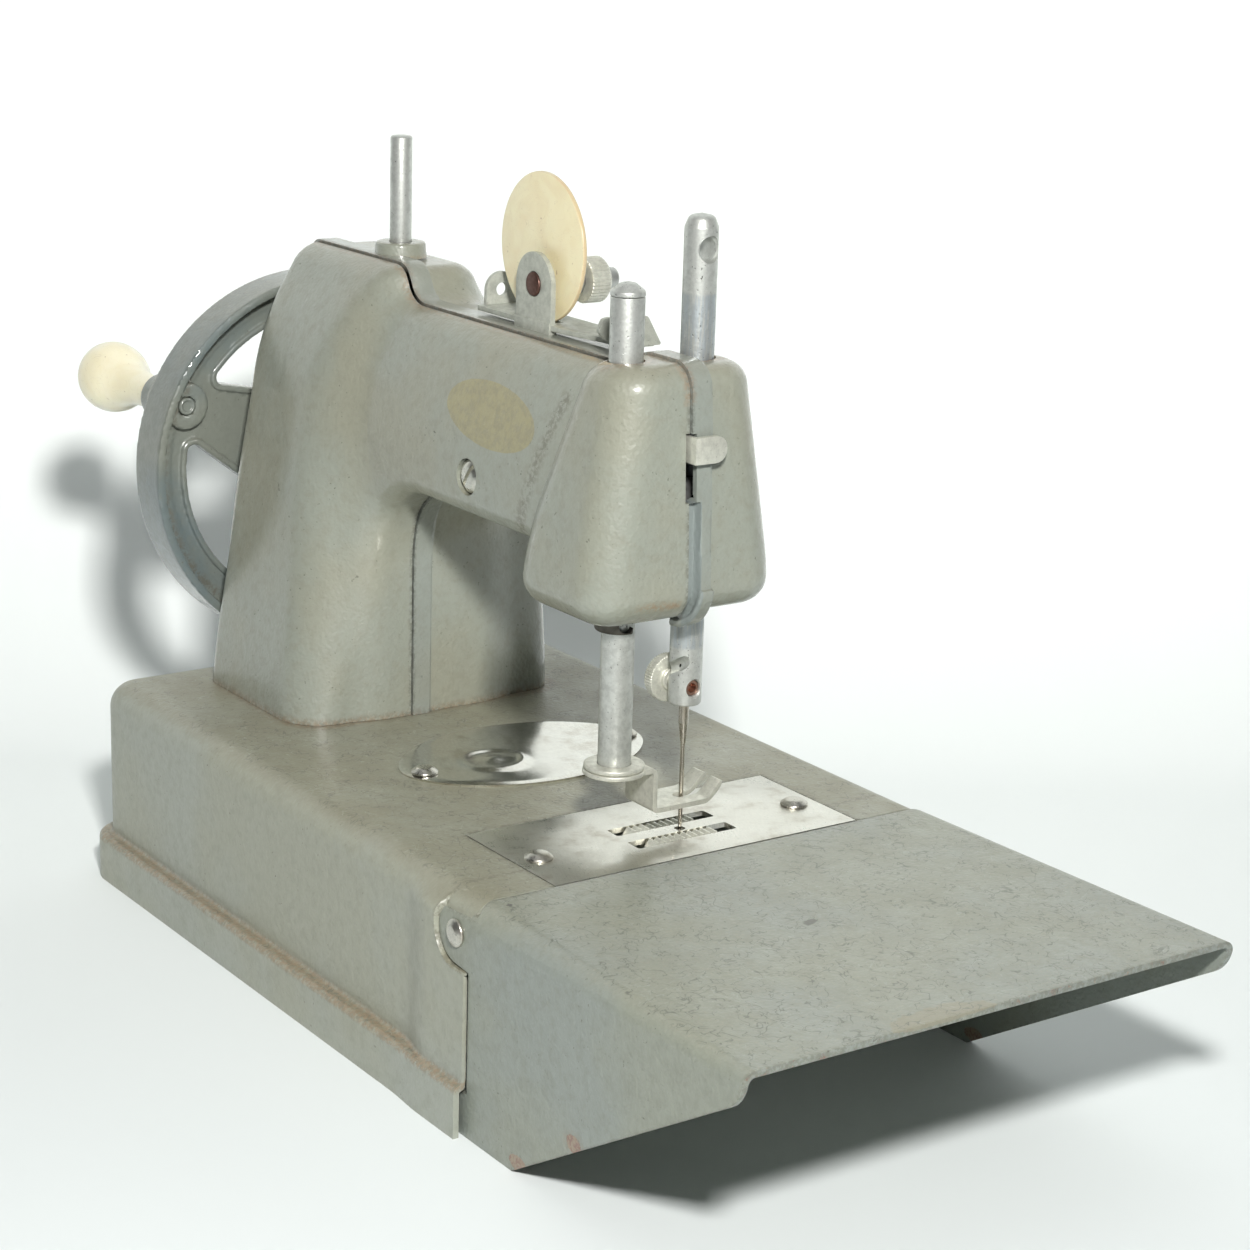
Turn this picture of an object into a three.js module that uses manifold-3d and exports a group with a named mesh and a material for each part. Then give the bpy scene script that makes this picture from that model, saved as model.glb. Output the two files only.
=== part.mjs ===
// Child's hand-crank sewing machine: pressed-steel base with a hinged bed extension,
// a two-shell column, arm and head, and a lever mechanism worked by a spoked handwheel.
// Millimetres, +Z up. +X points to the handwheel. The operator sits on the -Y side, so front is -Y,
// rear is +Y, left is the head's end and right is the handwheel's.
// The model is drawn with X = 0 at the joint between base and extension, Z = 0 on the table,
// and the finished group is moved so that its origin is at the middle of its footprint.

import * as THREE from 'three';
import { mergeVertices } from 'three/addons/utils/BufferGeometryUtils.js';
import Module from 'manifold-3d';

const wasm = await Module();
wasm.setup();

// ---------------------------------------------------------------- driving dimensions

const SHEET = 1.2;            // thickness of the pressed steel
const GAP = 0.3;              // clearance between neighbouring pieces

const BED = 45;               // height of the bed
const BASE_END = 158;         // wheel end of the base walls
const BASE_HALF = 53;         // half width over the base walls
const SKIRT = 3;              // how far the bottom skirt steps out
const SKIRT_HEIGHT = 10.2;
const BASE_ROUND = 5.5;       // rounding of the bed's edge

const EXTENSION = 82.4;       // length of the hinged bed extension
const WING_OUTER = 54.2;
const WING_INNER = 53.3;
const HINGE = { x: 3.2, z: 38.6 };
const LUG_R = 6;

const BAR_R = 3.175;          // needle bar and presser bar
const BAR_X = 13.5;
const NEEDLE_Y = -2.4;
const PRESSER_Y = 13.5;
const SCREW_Z = 74;           // needle clamp screw

const SEAM = 6.55;            // plane where the two shells meet
const BAND = 4.8;             // width of the front shell's raised seam band
const BAND_RISE = 0.8;
const COLUMN_X = [102.4, 145.6];
const COLUMN_TOP = 141.8;
const ARM_BOTTOM = 98;
const ARM_TOP = 134.6;
const ARCH = { x: 83.3, z: 79, r: 19 };
const FLOOR = BED + GAP;      // bottom of the shells

const WHEEL_Z = 90.9;         // main shaft above the table
const WHEEL_R = 42.2;
const WHEEL_X = [149.1, 160.5];
const SHAFT_R = 3.5;
const CRANK_ANGLE = THREE.MathUtils.degToRad(24);
const KNOB_R = 36.9;          // handwheel axis to crank knob axis
const KNOB_END = 197.3;
const CRANK_R = 8;            // throw of the needle crank; more would lift the clamp screw into the head
const ECCENTRIC = 3;          // throw of the feed eccentric
const ROD_X = [125.4, 128.6]; // connecting rod and the eccentric inside it

const PIVOT = { x: 61.9, z: 106.7 };
const LEVER_Y = [-9.2, -7.2];
const LEVER_Z = 112;
const YOKE_X = 114;

const LOWER = { y: 12, z: 22 };
const LOWER_R = 3;
const PLATE = { end: 31, half: 35.2, thick: 1 };
const PLATE_SCREWS = [[13.3, -30.2], [13.3, 30.2]];
const COVER = { x: 66.5, y: -0.3, halfX: 18.4, halfY: 27, top: BED + 1.1 };
const COVER_SCREWS = [[65, -24.8], [64.5, 24.5]];
const SCREW_HOLE_R = 1.8;
const SLOTS = [{ x: [15.7, 19.5], y: [-12.3, 10.6] }, { x: [8, 12], y: [-12.1, 11] }];
const WINDOWS = [84, 204, 324];   // middle of each handwheel opening, degrees from +Y
const STUD = { x: 60.2, z: 144.3 };
const DISC = { x: 62.3, z: 151, r: 14.8 };
const SPOOL_X = 117.7;
const SOLE_Z = 51;            // underside of the raised presser foot

const CENTRE_X = (KNOB_END - EXTENSION) / 2;

// ---------------------------------------------------------------- materials

function material(color, metalness, roughness) {
  return new THREE.MeshStandardMaterial({ color, metalness, roughness });
}
const ENAMEL = material(0x8f9488, 0.1, 0.5);
const DARK_ENAMEL = material(0x6f7a7b, 0.1, 0.5);
const BRIGHT = material(0xc2c2bd, 0.9, 0.35);
const DULL = material(0x9b9d9a, 0.8, 0.5);
const STEEL = material(0x7c7d7a, 0.8, 0.45);
const CREAM = material(0xefe3b8, 0, 0.35);
const BROWN = material(0x6a4a42, 0.3, 0.6);

// ---------------------------------------------------------------- solid helpers

function signedVolume(points, index) {
  const [a, b, c] = [new THREE.Vector3(), new THREE.Vector3(), new THREE.Vector3()];
  let total = 0;
  for (let i = 0; i < index.length; i += 3) {
    a.fromArray(points, index[i] * 3);
    b.fromArray(points, index[i + 1] * 3);
    c.fromArray(points, index[i + 2] * 3);
    total += a.dot(b.cross(c)) / 6;
  }
  return total;
}

function toSolid(geometry) {
  const bare = new THREE.BufferGeometry();
  bare.setAttribute('position', geometry.getAttribute('position'));
  bare.setIndex(geometry.index);
  const merged = mergeVertices(bare, 1e-4);
  const points = Float32Array.from(merged.getAttribute('position').array);
  const faces = [];
  for (let i = 0; i < merged.index.count; i += 3) {
    const [a, b, c] = [0, 1, 2].map((k) => merged.index.getX(i + k));
    if (a !== b && b !== c && c !== a) faces.push([a, b, c]);
  }
  const outward = signedVolume(points, faces.flat()) > 0;
  const triVerts = Uint32Array.from(faces.flatMap((face) => (outward ? face : face.reverse())));
  return new wasm.Manifold(new wasm.Mesh({ numProp: 3, vertProperties: points, triVerts }));
}

function unite(first, ...rest) {
  return rest.reduce((solid, other) => solid.add(other), first);
}

function cut(solid, ...tools) {
  return tools.reduce((left, tool) => left.subtract(tool), solid);
}

function block([x0, x1], [y0, y1], [z0, z1]) {
  const box = new THREE.BoxGeometry(x1 - x0, y1 - y0, z1 - z0);
  return toSolid(box.translate((x0 + x1) / 2, (y0 + y1) / 2, (z0 + z1) / 2));
}

// Solid of revolution about an axis; the profile holds [radius, position] pairs.
// The centre is [y, z], [x, z] or [x, y] for the axes x, y and z.
function turned(axis, profile, centre, sides = 20) {
  const points = profile.map(([radius, place]) => new THREE.Vector2(radius, place));
  const lathe = new THREE.LatheGeometry(points, sides);
  if (axis === 'x') return toSolid(lathe.rotateZ(-Math.PI / 2).translate(0, centre[0], centre[1]));
  if (axis === 'y') return toSolid(lathe.translate(centre[0], 0, centre[1]));
  return toSolid(lathe.rotateX(Math.PI / 2).translate(centre[0], centre[1], 0));
}

function rod(axis, radius, [low, high], centre, sides = 20) {
  return turned(axis, [[0, low], [radius, low], [radius, high], [0, high]], centre, sides);
}

function sleeve(axis, inner, outer, [low, high], centre, sides = 20) {
  const ring = [[inner, low], [outer, low], [outer, high], [inner, high], [inner, low]];
  return turned(axis, ring, centre, sides);
}

// A flat outline pushed along an axis. The outline is drawn in (y, z), (x, z) or (x, y).
function prism(axis, outline, [low, high], curveSegments = 8) {
  const shape = outline instanceof THREE.Shape ? outline : new THREE.Shape(toVectors(outline));
  const options = { depth: high - low, bevelEnabled: false, curveSegments };
  const geometry = new THREE.ExtrudeGeometry(shape, options).translate(0, 0, low);
  const x = new THREE.Vector3(1, 0, 0);
  const y = new THREE.Vector3(0, 1, 0);
  const z = new THREE.Vector3(0, 0, 1);
  const basis = new THREE.Matrix4();
  if (axis === 'x') geometry.applyMatrix4(basis.makeBasis(y, z, x));
  if (axis === 'y') geometry.applyMatrix4(basis.makeBasis(x, z, y));
  return toSolid(geometry);
}

function toVectors(pairs) {
  return pairs.map(([a, b]) => new THREE.Vector2(a, b));
}

function arc(cx, cy, radius, from, to, steps) {
  return Array.from({ length: steps + 1 }, (_, i) => {
    const angle = THREE.MathUtils.degToRad(from + ((to - from) * i) / steps);
    return [cx + radius * Math.cos(angle), cy + radius * Math.sin(angle)];
  });
}

// A rounded rectangle at height z, as one ring of a loft.
function ring([x0, x1], [y0, y1], radius, z, steps = 3) {
  const r = Math.min(radius, (x1 - x0) / 2 - 0.2, (y1 - y0) / 2 - 0.2);
  const corners = [[x1 - r, y1 - r], [x0 + r, y1 - r], [x0 + r, y0 + r], [x1 - r, y0 + r]];
  const outline = corners.flatMap(([x, y], i) => arc(x, y, r, 90 * i, 90 * i + 90, steps));
  return outline.map(([x, y]) => [x, y, z]);
}

// A closed skin through rings of equal point counts, with flat ends.
function loft(rings) {
  const count = rings[0].length;
  const index = [];
  for (let level = 0; level < rings.length - 1; level += 1) {
    for (let i = 0; i < count; i += 1) {
      const a = level * count + i;
      const b = level * count + ((i + 1) % count);
      index.push(a, b, b + count, a, b + count, a + count);
    }
  }
  const last = (rings.length - 1) * count;
  for (let i = 1; i < count - 1; i += 1) {
    index.push(0, i + 1, i, last, last + i, last + i + 1);
  }
  const geometry = new THREE.BufferGeometry();
  geometry.setAttribute('position', new THREE.Float32BufferAttribute(rings.flat(2), 3));
  geometry.setIndex(index);
  return toSolid(geometry);
}

// A coil spring along +Z or +Y whose wire ends are closed.
class Helix extends THREE.Curve {
  constructor(radius, turns, low, high, place) {
    super();
    Object.assign(this, { radius, turns, low, high, place });
  }

  getPoint(t, target = new THREE.Vector3()) {
    const angle = t * this.turns * 2 * Math.PI;
    const height = this.low + t * (this.high - this.low);
    return target.copy(this.place(this.radius * Math.cos(angle), this.radius * Math.sin(angle), height));
  }
}

function spring(wire, helix, steps) {
  const section = new THREE.Shape(toVectors(arc(0, 0, wire, 0, 300, 5)));
  return toSolid(new THREE.ExtrudeGeometry(section, { steps, extrudePath: helix, bevelEnabled: false }));
}

// ---------------------------------------------------------------- scene graph

const machine = new THREE.Group();
machine.position.x = -CENTRE_X;

function piece(name, solid, look, parent = machine) {
  const { vertProperties, triVerts } = solid.getMesh();
  const geometry = new THREE.BufferGeometry();
  geometry.setAttribute('position', new THREE.BufferAttribute(vertProperties, 3));
  geometry.setIndex(new THREE.BufferAttribute(triVerts, 1));
  geometry.computeVertexNormals();
  const mesh = new THREE.Mesh(geometry, look);
  mesh.name = name;
  parent.add(mesh);
  return mesh;
}

function groupAt(x, y, z, parent = machine) {
  const group = new THREE.Group();
  group.position.set(x, y, z);
  parent.add(group);
  return group;
}

// ---------------------------------------------------------------- base and bed

function tray(inset) {
  const end = BASE_END - inset;
  const half = BASE_HALF - inset;
  const top = BED - inset;
  const round = BASE_ROUND - inset;
  const corner = 7 - inset;
  const ringAt = (z, out) => ring([-30, end + out], [-half - out, half + out], corner + out, z, 4);
  const edge = [0, 30, 60, 90].map((angle) => {
    const turn = THREE.MathUtils.degToRad(angle);
    return ringAt(top - round * (1 - Math.sin(turn)), round * (Math.cos(turn) - 1));
  });
  const foot = inset > 0 ? -1 : 0;
  const step = SKIRT_HEIGHT - inset;
  const skirt = [[foot, SKIRT], [step - 0.9, SKIRT], [step, SKIRT - 0.9], [step, 0]];
  return loft([...skirt.map(([z, out]) => ringAt(z, out)), ...edge]);
}

function baseShell() {
  const pan = block([-1, 40], [-43, 43], [42.3, BED - SHEET + 0.1]);
  const seatHalf = PLATE.half + GAP;
  const plateSeat = block([-1, PLATE.end + GAP], [-seatHalf, seatHalf], [BED - PLATE.thick - GAP, BED + 1]);
  const feedWindow = block([4, 27], [-20, 20], [40, BED]);
  const screwHoles = screwHolesAt([...PLATE_SCREWS, ...COVER_SCREWS]);
  const coverHole = rod('z', 13, [40, BED + 1], [COVER.x, 0], 24);
  const rodHole = block([109, 141], [-16, 18], [40, BED + 1]);
  const rivetHoles = rod('y', SCREW_HOLE_R, [-60, 60], [HINGE.x, HINGE.z], 12);
  const hingeEnd = block([-40, 0], [-70, 70], [-5, 60]);
  const walls = unite(cut(tray(0), tray(SHEET)), pan);
  return cut(walls, hingeEnd, plateSeat, feedWindow, coverHole, rodHole, rivetHoles, ...screwHoles);
}

function screwHolesAt(places) {
  return places.map((place) => rod('z', SCREW_HOLE_R, [40, 50], place, 10));
}

function needlePlate() {
  const sheet = block([0, PLATE.end], [-PLATE.half, PLATE.half], [BED - PLATE.thick, BED]);
  const slots = SLOTS.map((slot) => block(slot.x, slot.y, [40, 50]));
  const needleHole = rod('z', 1.1, [40, 50], [BAR_X, NEEDLE_Y], 12);
  return cut(sheet, needleHole, ...slots, ...screwHolesAt(PLATE_SCREWS));
}

// Dome-headed screw pointing down, with its head just above height z.
function domeScrew(place, z, length = 5) {
  const top = z + GAP;
  const shank = [[0, z - length], [1.4, z - length], [1.4, top]];
  const head = [[2.5, top], [2.3, top + 0.7], [1.3, top + 1.3], [0, top + 1.5]];
  return turned('z', [...shank, ...head], place, 12);
}

function ovalCover() {
  const outline = Array.from({ length: 28 }, (_, i) => {
    const angle = (i / 28) * 2 * Math.PI;
    return [COVER.x + COVER.halfX * Math.cos(angle), COVER.y + COVER.halfY * Math.sin(angle)];
  });
  return cut(prism('z', outline, [BED + GAP, COVER.top]), ...screwHolesAt(COVER_SCREWS));
}

function buildBase() {
  piece('base_shell', baseShell(), ENAMEL);
  piece('needle_plate', needlePlate(), BRIGHT);
  piece('oval_cover', ovalCover(), BRIGHT);
  ['front', 'rear'].forEach((side, i) => {
    piece(`plate_screw_${side}`, domeScrew(PLATE_SCREWS[i], BED), BRIGHT);
    piece(`cover_screw_${side}`, domeScrew(COVER_SCREWS[i], COVER.top), BRIGHT);
  });
}

// ---------------------------------------------------------------- hinged bed extension

function bedExtension() {
  const channel = (half, top, round, foot) => {
    const right = arc(half - round, top - round, round, 0, 90, 5);
    const left = arc(-half + round, top - round, round, 90, 180, 5);
    return prism('x', [[half, foot], ...right, ...left, [-half, foot]], [-EXTENSION - 1, 20]);
  };
  const skin = cut(channel(WING_OUTER, BED, 6, 0), channel(WING_INNER, BED - SHEET, 5.1, -1));
  const side = [
    [-0.35, BED + 1], [-EXTENSION, BED + 1], ...arc(-EXTENSION + 7.5, 44.1, 7.5, 180, 238.7, 5),
    [-16.6, 0], [-0.5, 0], [-0.5, 31], [-1.85, BED - SHEET], [-0.35, BED],
  ];
  const plate = skin.intersect(prism('y', side, [-60, 60]));
  const lugRound = rod('y', LUG_R, [-60, 60], [HINGE.x, HINGE.z], 20);
  const lugShape = unite(lugRound, block([-1.5, HINGE.x], [-60, 60], [HINGE.z - LUG_R, 41.4]));
  const inside = block([-5, 20], [-WING_INNER, WING_INNER], [0, 60]);
  const above = block([-5, 20], [-60, 60], [41.4, 60]);
  const lugs = cut(skin.intersect(lugShape), inside, above);
  const rivetHoles = rod('y', SCREW_HOLE_R, [-60, 60], [HINGE.x, HINGE.z], 12);
  const groove = block([-1.9, 1], [-WING_INNER - 0.05, WING_INNER + 0.05], [40, BED - SHEET]);
  return cut(unite(plate, lugs), rivetHoles, groove);
}

function extensionRivet(side) {
  const inner = [[0, 50.2], [2, 50.2], [2.3, 51.2], [1.5, 51.2]];
  const outer = [[1.5, 54.5], [2.6, 54.5], [2.2, 55.3], [0, 55.7]];
  const profile = [...inner, ...outer].map(([radius, y]) => [radius, side * y]);
  return turned('y', profile, [HINGE.x, HINGE.z], 14);
}

function buildExtension() {
  piece('bed_extension', bedExtension(), ENAMEL);
  piece('extension_rivet_rear', extensionRivet(1), BRIGHT);
  piece('extension_rivet_front', extensionRivet(-1), BRIGHT);
}

// ---------------------------------------------------------------- column, arm and head shells

function columnBody(inset) {
  const levels = [
    [FLOOR, 32.6, 33, 0], [58, 31.6, 32.4, 0], [72, 30.2, 31.2, 0], [89.5, 27.4, 28.6, 0],
    [107, 23.8, 24.6, 0], [120, 20, 20.4, 0], [131, 15.8, 16, 0], [137, 12.8, 13.2, 0.3],
    [140.6, 10.6, 11, 1.2], [COLUMN_TOP, 8.8, 9.2, 2.6],
  ];
  const squeeze = (COLUMN_TOP - inset - FLOOR) / (COLUMN_TOP - FLOOR);
  return loft(levels.map(([z, rear, front, ends]) => {
    const x = [COLUMN_X[0] + ends + inset, COLUMN_X[1] - ends - inset];
    return ring(x, [-front + inset, rear - inset], 7 - inset, FLOOR + (z - FLOOR) * squeeze);
  }));
}

function armBody(inset) {
  const half = [[11, 0], [15, 1.6], [17, 5], [17.2, 12], [15.2, 22], [12.2, 30], [9.4, 34.6], [6.5, 36.6]];
  const height = ARM_TOP - ARM_BOTTOM;
  const squeeze = (height - 2 * inset) / height;
  const point = ([y, up], side) => [side * (y - inset), ARM_BOTTOM + inset + up * squeeze];
  const right = half.map((pair) => point(pair, 1));
  const left = half.map((pair) => point(pair, -1)).reverse();
  return prism('x', [...right, ...left], [14, 110]);
}

function archFillet(inset) {
  const curve = arc(ARCH.x, ARCH.z, ARCH.r + inset, 0, 90, 7);
  const outline = [...curve, [ARCH.x, 104], [110, 104], [110, ARCH.z]];
  return prism('y', outline, [-16 + inset, 16 - inset]);
}

function headBody(inset) {
  const levels = [
    [90.2, [8, 24], [-8, 19]], [92, [4, 29], [-12, 23.5]], [95.5, [1.8, 31], [-15.3, 26]],
    [100, [1.5, 31.5], [-16.2, 26.3]], [106.5, [1.8, 30.5], [-15.2, 25.2]], [120, [2.5, 26.5], [-13.3, 23]],
    [131.6, [3, 22.3], [-11.5, 21.2]], [135.6, [4, 20.4], [-9.6, 19.3]], [137.9, [7.5, 17], [-5.5, 15.5]],
  ];
  const [low, high] = [90.2, 137.9];
  const squeeze = (high - low - 2 * inset) / (high - low);
  const shrink = ([a, b]) => [a + inset, b - inset];
  const lift = (z) => low + inset + (z - low) * squeeze;
  return loft(levels.map(([z, x, y]) => ring(shrink(x), shrink(y), 7 - inset, lift(z))));
}

function casing(inset) {
  return unite(columnBody(inset), armBody(inset), archFillet(inset), headBody(inset));
}

function casingHoles() {
  return unite(
    rod('z', BAR_R + GAP, [80, 150], [BAR_X, NEEDLE_Y]),
    rod('z', BAR_R + GAP, [110, 150], [BAR_X, PRESSER_Y]),
    rod('z', 4.6 + GAP, [80, 100], [BAR_X, PRESSER_Y]),
    rod('x', 6 + GAP, [130, 150], [0, WHEEL_Z]),
    rod('z', 1.8, [135, 150], [SPOOL_X, 0], 12),
    rod('y', 3.6, [0, 20], [PIVOT.x, PIVOT.z]),
    rod('y', 2.5 + GAP, [-20, 0], [PIVOT.x, PIVOT.z]),
    block([0, 8], [5.4, 7.3], [112.9, 125.7]),
  );
}

function buildShells() {
  const outer = casing(0);
  const hollow = unite(casing(SHEET), columnBody(SHEET).translate(0, 0, -2));
  const holes = casingHoles();
  const rearSide = block([-10, 160], [SEAM, 60], [FLOOR, 160]);
  const frontSide = block([-10, 160], [-60, SEAM - GAP], [FLOOR, 160]);
  const bandSlab = block([-10, 160], [SEAM - BAND, SEAM - GAP], [FLOOR, 160]);
  const frontOuter = unite(outer.intersect(frontSide), casing(-BAND_RISE).intersect(bandSlab));
  piece('body_shell_rear', cut(outer, hollow, holes).intersect(rearSide), ENAMEL);
  piece('body_shell_front', cut(frontOuter, hollow, holes), ENAMEL);
}

// ---------------------------------------------------------------- on top of the arm and column

function tensionBracket() {
  const strip = block([31.5, 81.5], [-6, 3.5], [136, 137]);
  const earTop = arc(STUD.x, STUD.z, 6.3, 0, 180, 10);
  const discEar = prism('y', [[STUD.x + 5.8, 136.4], ...earTop, [STUD.x - 5.8, 136.4]], [2.4, 3.5]);
  const guideTop = arc(-2.1, 139.9, 3.5, 0, 180, 8);
  const guideEar = prism('x', [[1.4, 136.4], ...guideTop, [-5.6, 136.4]], [80.5, 81.5]);
  const headEar = prism('x', [[-7, 136], [9, 136], [8.4, 139.5], [6, 142], [-3.8, 142]], [31.5, 32.5]);
  const notch = block([30, 34], [3.6, 5.4], [138.4, 143]);
  const discSlot = block([DISC.x - 6.2, DISC.x + 6.2], [-1.1, 1], [135, 138]);
  const holes = [rod('y', 2.7, [0, 6], [STUD.x, STUD.z]), rod('x', 1.3, [78, 84], [-2.1, 139.9], 12)];
  return cut(unite(strip, discEar, guideEar, headEar), notch, discSlot, ...holes);
}

function tensionStud() {
  const outerEnd = [[0, -15.6], [1.9, -15.6], [2.3, -15.1], [2.3, -13.2], [1.5, -13.2]];
  const innerEnd = [[1.5, 1], [2.4, 1], [2.4, 3.8], [0, 3.8]];
  return turned('y', [...outerEnd, ...innerEnd], [STUD.x, STUD.z]);
}

function tensionNut() {
  const outside = [[3.4, -12.6], [4.6, -11.4], [4.6, -8], [4.2, -7.6]];
  const body = turned('y', [[1.8, -12.6], ...outside, [1.8, -7.6], [1.8, -12.6]], [0, 0], 24);
  const grooves = Array.from({ length: 12 }, (_, i) => {
    const angle = (i / 12) * 2 * Math.PI;
    return rod('y', 0.35, [-14, -5], [4.65 * Math.cos(angle), 4.65 * Math.sin(angle)], 4);
  });
  return cut(body, ...grooves);
}

function buildTop() {
  piece('tension_bracket', tensionBracket(), BRIGHT);
  piece('tension_stud', tensionStud(), BROWN);
  const discRound = rod('y', DISC.r, [-0.8, 0.7], [DISC.x, DISC.z], 44);
  const discHole = rod('y', 1.8, [-3, 3], [STUD.x, STUD.z], 14);
  piece('tension_disc', cut(discRound, discHole), CREAM);
  const coil = new Helix(2.9, 4, -6.8, -1.6, (a, b, y) => new THREE.Vector3(STUD.x + a, y, STUD.z + b));
  piece('tension_spring', spring(0.4, coil, 36), STEEL);
  piece('tension_nut', tensionNut(), BRIGHT, groupAt(STUD.x, 0, STUD.z));
  const seat = COLUMN_TOP + BAND_RISE + GAP;
  const flange = [[2.7, seat], [5.4, seat], [5.4, 144.4], [5, 144.8], [2.7, 144.8], [2.7, seat]];
  piece('spool_flange', turned('z', flange, [SPOOL_X, 0], 28), ENAMEL);
  const pin = [[0, 138.4], [1.4, 138.4], [1.4, seat], [2.3, seat], [2.3, 166.2], [1.9, 166.9], [0, 167]];
  piece('spool_pin', turned('z', pin, [SPOOL_X, 0], 16), DULL);
}

// ---------------------------------------------------------------- handwheel and main shaft

// A point on the crank's radius, as [y, z] from the main shaft's axis.
function crankPoint(radius) {
  return [radius * Math.cos(CRANK_ANGLE), radius * Math.sin(CRANK_ANGLE)];
}

function handwheel() {
  const [inner, outer] = WHEEL_X.map((x) => x - WHEEL_X[0]);
  const rim = WHEEL_R - 0.4;
  const profile = [
    [3.8, inner], [9, inner], [9.6, 4.6], [38.6, 4.6], [40.5, 3.4], [40.9, inner],
    [rim, inner], [WHEEL_R, 0.5], [WHEEL_R, outer - 0.5], [rim, outer],
    [40.5, outer], [40, 8.4], [9.6, 8.4], [9, outer], [3.8, outer], [3.8, inner],
  ];
  const wheel = turned('x', profile, [0, 0], 40);
  const windows = WINDOWS.map((middle) => prism('x', windowOutline(middle, 47), [-2, 14]));
  const boss = rod('x', 5, [3.4, 15.5], crankPoint(KNOB_R), 18);
  const studBore = rod('x', 2.3, [2, 20], crankPoint(KNOB_R), 12);
  return cut(unite(cut(wheel, ...windows), boss), studBore);
}

// One opening between two spokes: an outer arc and two sides that meet towards the hub.
function windowOutline(middle, spread) {
  const outer = arc(0, 0, 33.6, middle - spread, middle + spread, 10);
  return [...arc(0, 0, 14.5, middle + 8, middle - 8, 2), ...outer];
}

function crankDisc() {
  const disc = sleeve('x', SHAFT_R + GAP, 14.6, [119.5, 122.5], [0, 0], 28);
  return unite(disc, rod('x', 2, [117.3, 120], crankPoint(CRANK_R), 14));
}

function eccentric() {
  return cut(rod('x', 8, ROD_X, [ECCENTRIC, 0], 28), rod('x', SHAFT_R + GAP, [120, 130], [0, 0]));
}

function knob() {
  const profile = [
    [0, KNOB_END], [3.4, 196.5], [6, 194.6], [7.7, 191.5], [8, 188.8], [7.4, 185.6], [5.8, 182], [4.4, 177.5],
    [3.7, 172], [3.6, 166.2], [2.3, 166.2], [2.3, 187.5], [0, 187.5],
  ];
  return turned('x', profile, [0, 0], 24);
}

function connectingRod() {
  const reach = WHEEL_Z - LOWER.z;
  const big = rod('x', 11.2, ROD_X, [ECCENTRIC, 0], 28);
  const small = rod('x', 4, ROD_X, [ECCENTRIC, -reach], 16);
  const shank = block(ROD_X, [ECCENTRIC - 2.5, ECCENTRIC + 2.5], [-reach, -8]);
  const bigBore = rod('x', 8 + GAP, [120, 130], [ECCENTRIC, 0], 28);
  const smallBore = rod('x', 2, [120, 130], [ECCENTRIC, -reach], 12);
  return cut(unite(big, small, shank), bigBore, smallBore);
}

function shaftBracket() {
  const outline = [[-12, 76], [12, 76], [16, 92], [13.5, 106], [-13.5, 106], [-16, 92]];
  return cut(prism('x', outline, [132.3, 134.3]), rod('x', SHAFT_R + GAP, [130, 140], [0, WHEEL_Z]));
}

function buildDrive() {
  const axle = groupAt(0, 0, WHEEL_Z);
  const wheel = groupAt(WHEEL_X[0], 0, 0, axle);
  piece('handwheel', handwheel(), DARK_ENAMEL, wheel);
  piece('main_shaft', rod('x', SHAFT_R, [118.2, 161.4], [0, 0]), STEEL, axle);
  piece('crank_disc', crankDisc(), STEEL, axle);
  piece('feed_eccentric', eccentric(), STEEL, axle);
  const stud = [[0, 151.6], [1.9, 151.6], [1.9, 187], [0, 187]];
  const handle = groupAt(0, ...crankPoint(KNOB_R), axle);
  piece('knob_stud', turned('x', stud, [0, 0], 12), BRIGHT, handle);
  piece('crank_knob', knob(), CREAM, handle);
  piece('connecting_rod', connectingRod(), STEEL, axle);
  piece('main_shaft_bush', sleeve('x', SHAFT_R + GAP, 6, [141.5, 148.2], [0, 0]), DULL, axle);
  piece('shaft_bracket', shaftBracket(), STEEL);
}

// ---------------------------------------------------------------- needle lever

function needleLever() {
  const arm = [[8.5, 109], [8.5, 115], [117, 115.5]];
  const bar = prism('y', [...arm, [117, 91.4], [111, 91.4], [111, 108.5], [52, 108.5]], LEVER_Y);
  const boss = rod('y', 5.5, LEVER_Y, [PIVOT.x, PIVOT.z]);
  const slot = block([5, 17], [-12, 0], [LEVER_Z - 2.4, LEVER_Z + 2.4]);
  const middle = WHEEL_Z + crankPoint(CRANK_R)[1];
  const yoke = block([YOKE_X - 0.8, YOKE_X + 0.8], [-15.6, 15.6], [middle - 5, middle + 5]);
  const yokeSlot = block([100, 116], [-13.4, 13.4], [middle - 2.6, middle + 2.6]);
  const bore = rod('y', 2.5 + GAP, [-12, 0], [PIVOT.x, PIVOT.z]);
  return cut(unite(bar, boss, yoke), slot, yokeSlot, bore);
}

function pivotScrew() {
  const profile = [[0, -17], [2.5, -17], [2.5, 14.2], [3.3, 14.2], [3.3, 15.8], [2.7, 16.3], [0, 16.3]];
  const slot = block([55, 70], [15.2, 18], [PIVOT.z - 0.45, PIVOT.z + 0.45]);
  return cut(turned('y', profile, [PIVOT.x, PIVOT.z]), slot);
}

// ---------------------------------------------------------------- needle bar and presser bar

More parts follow.
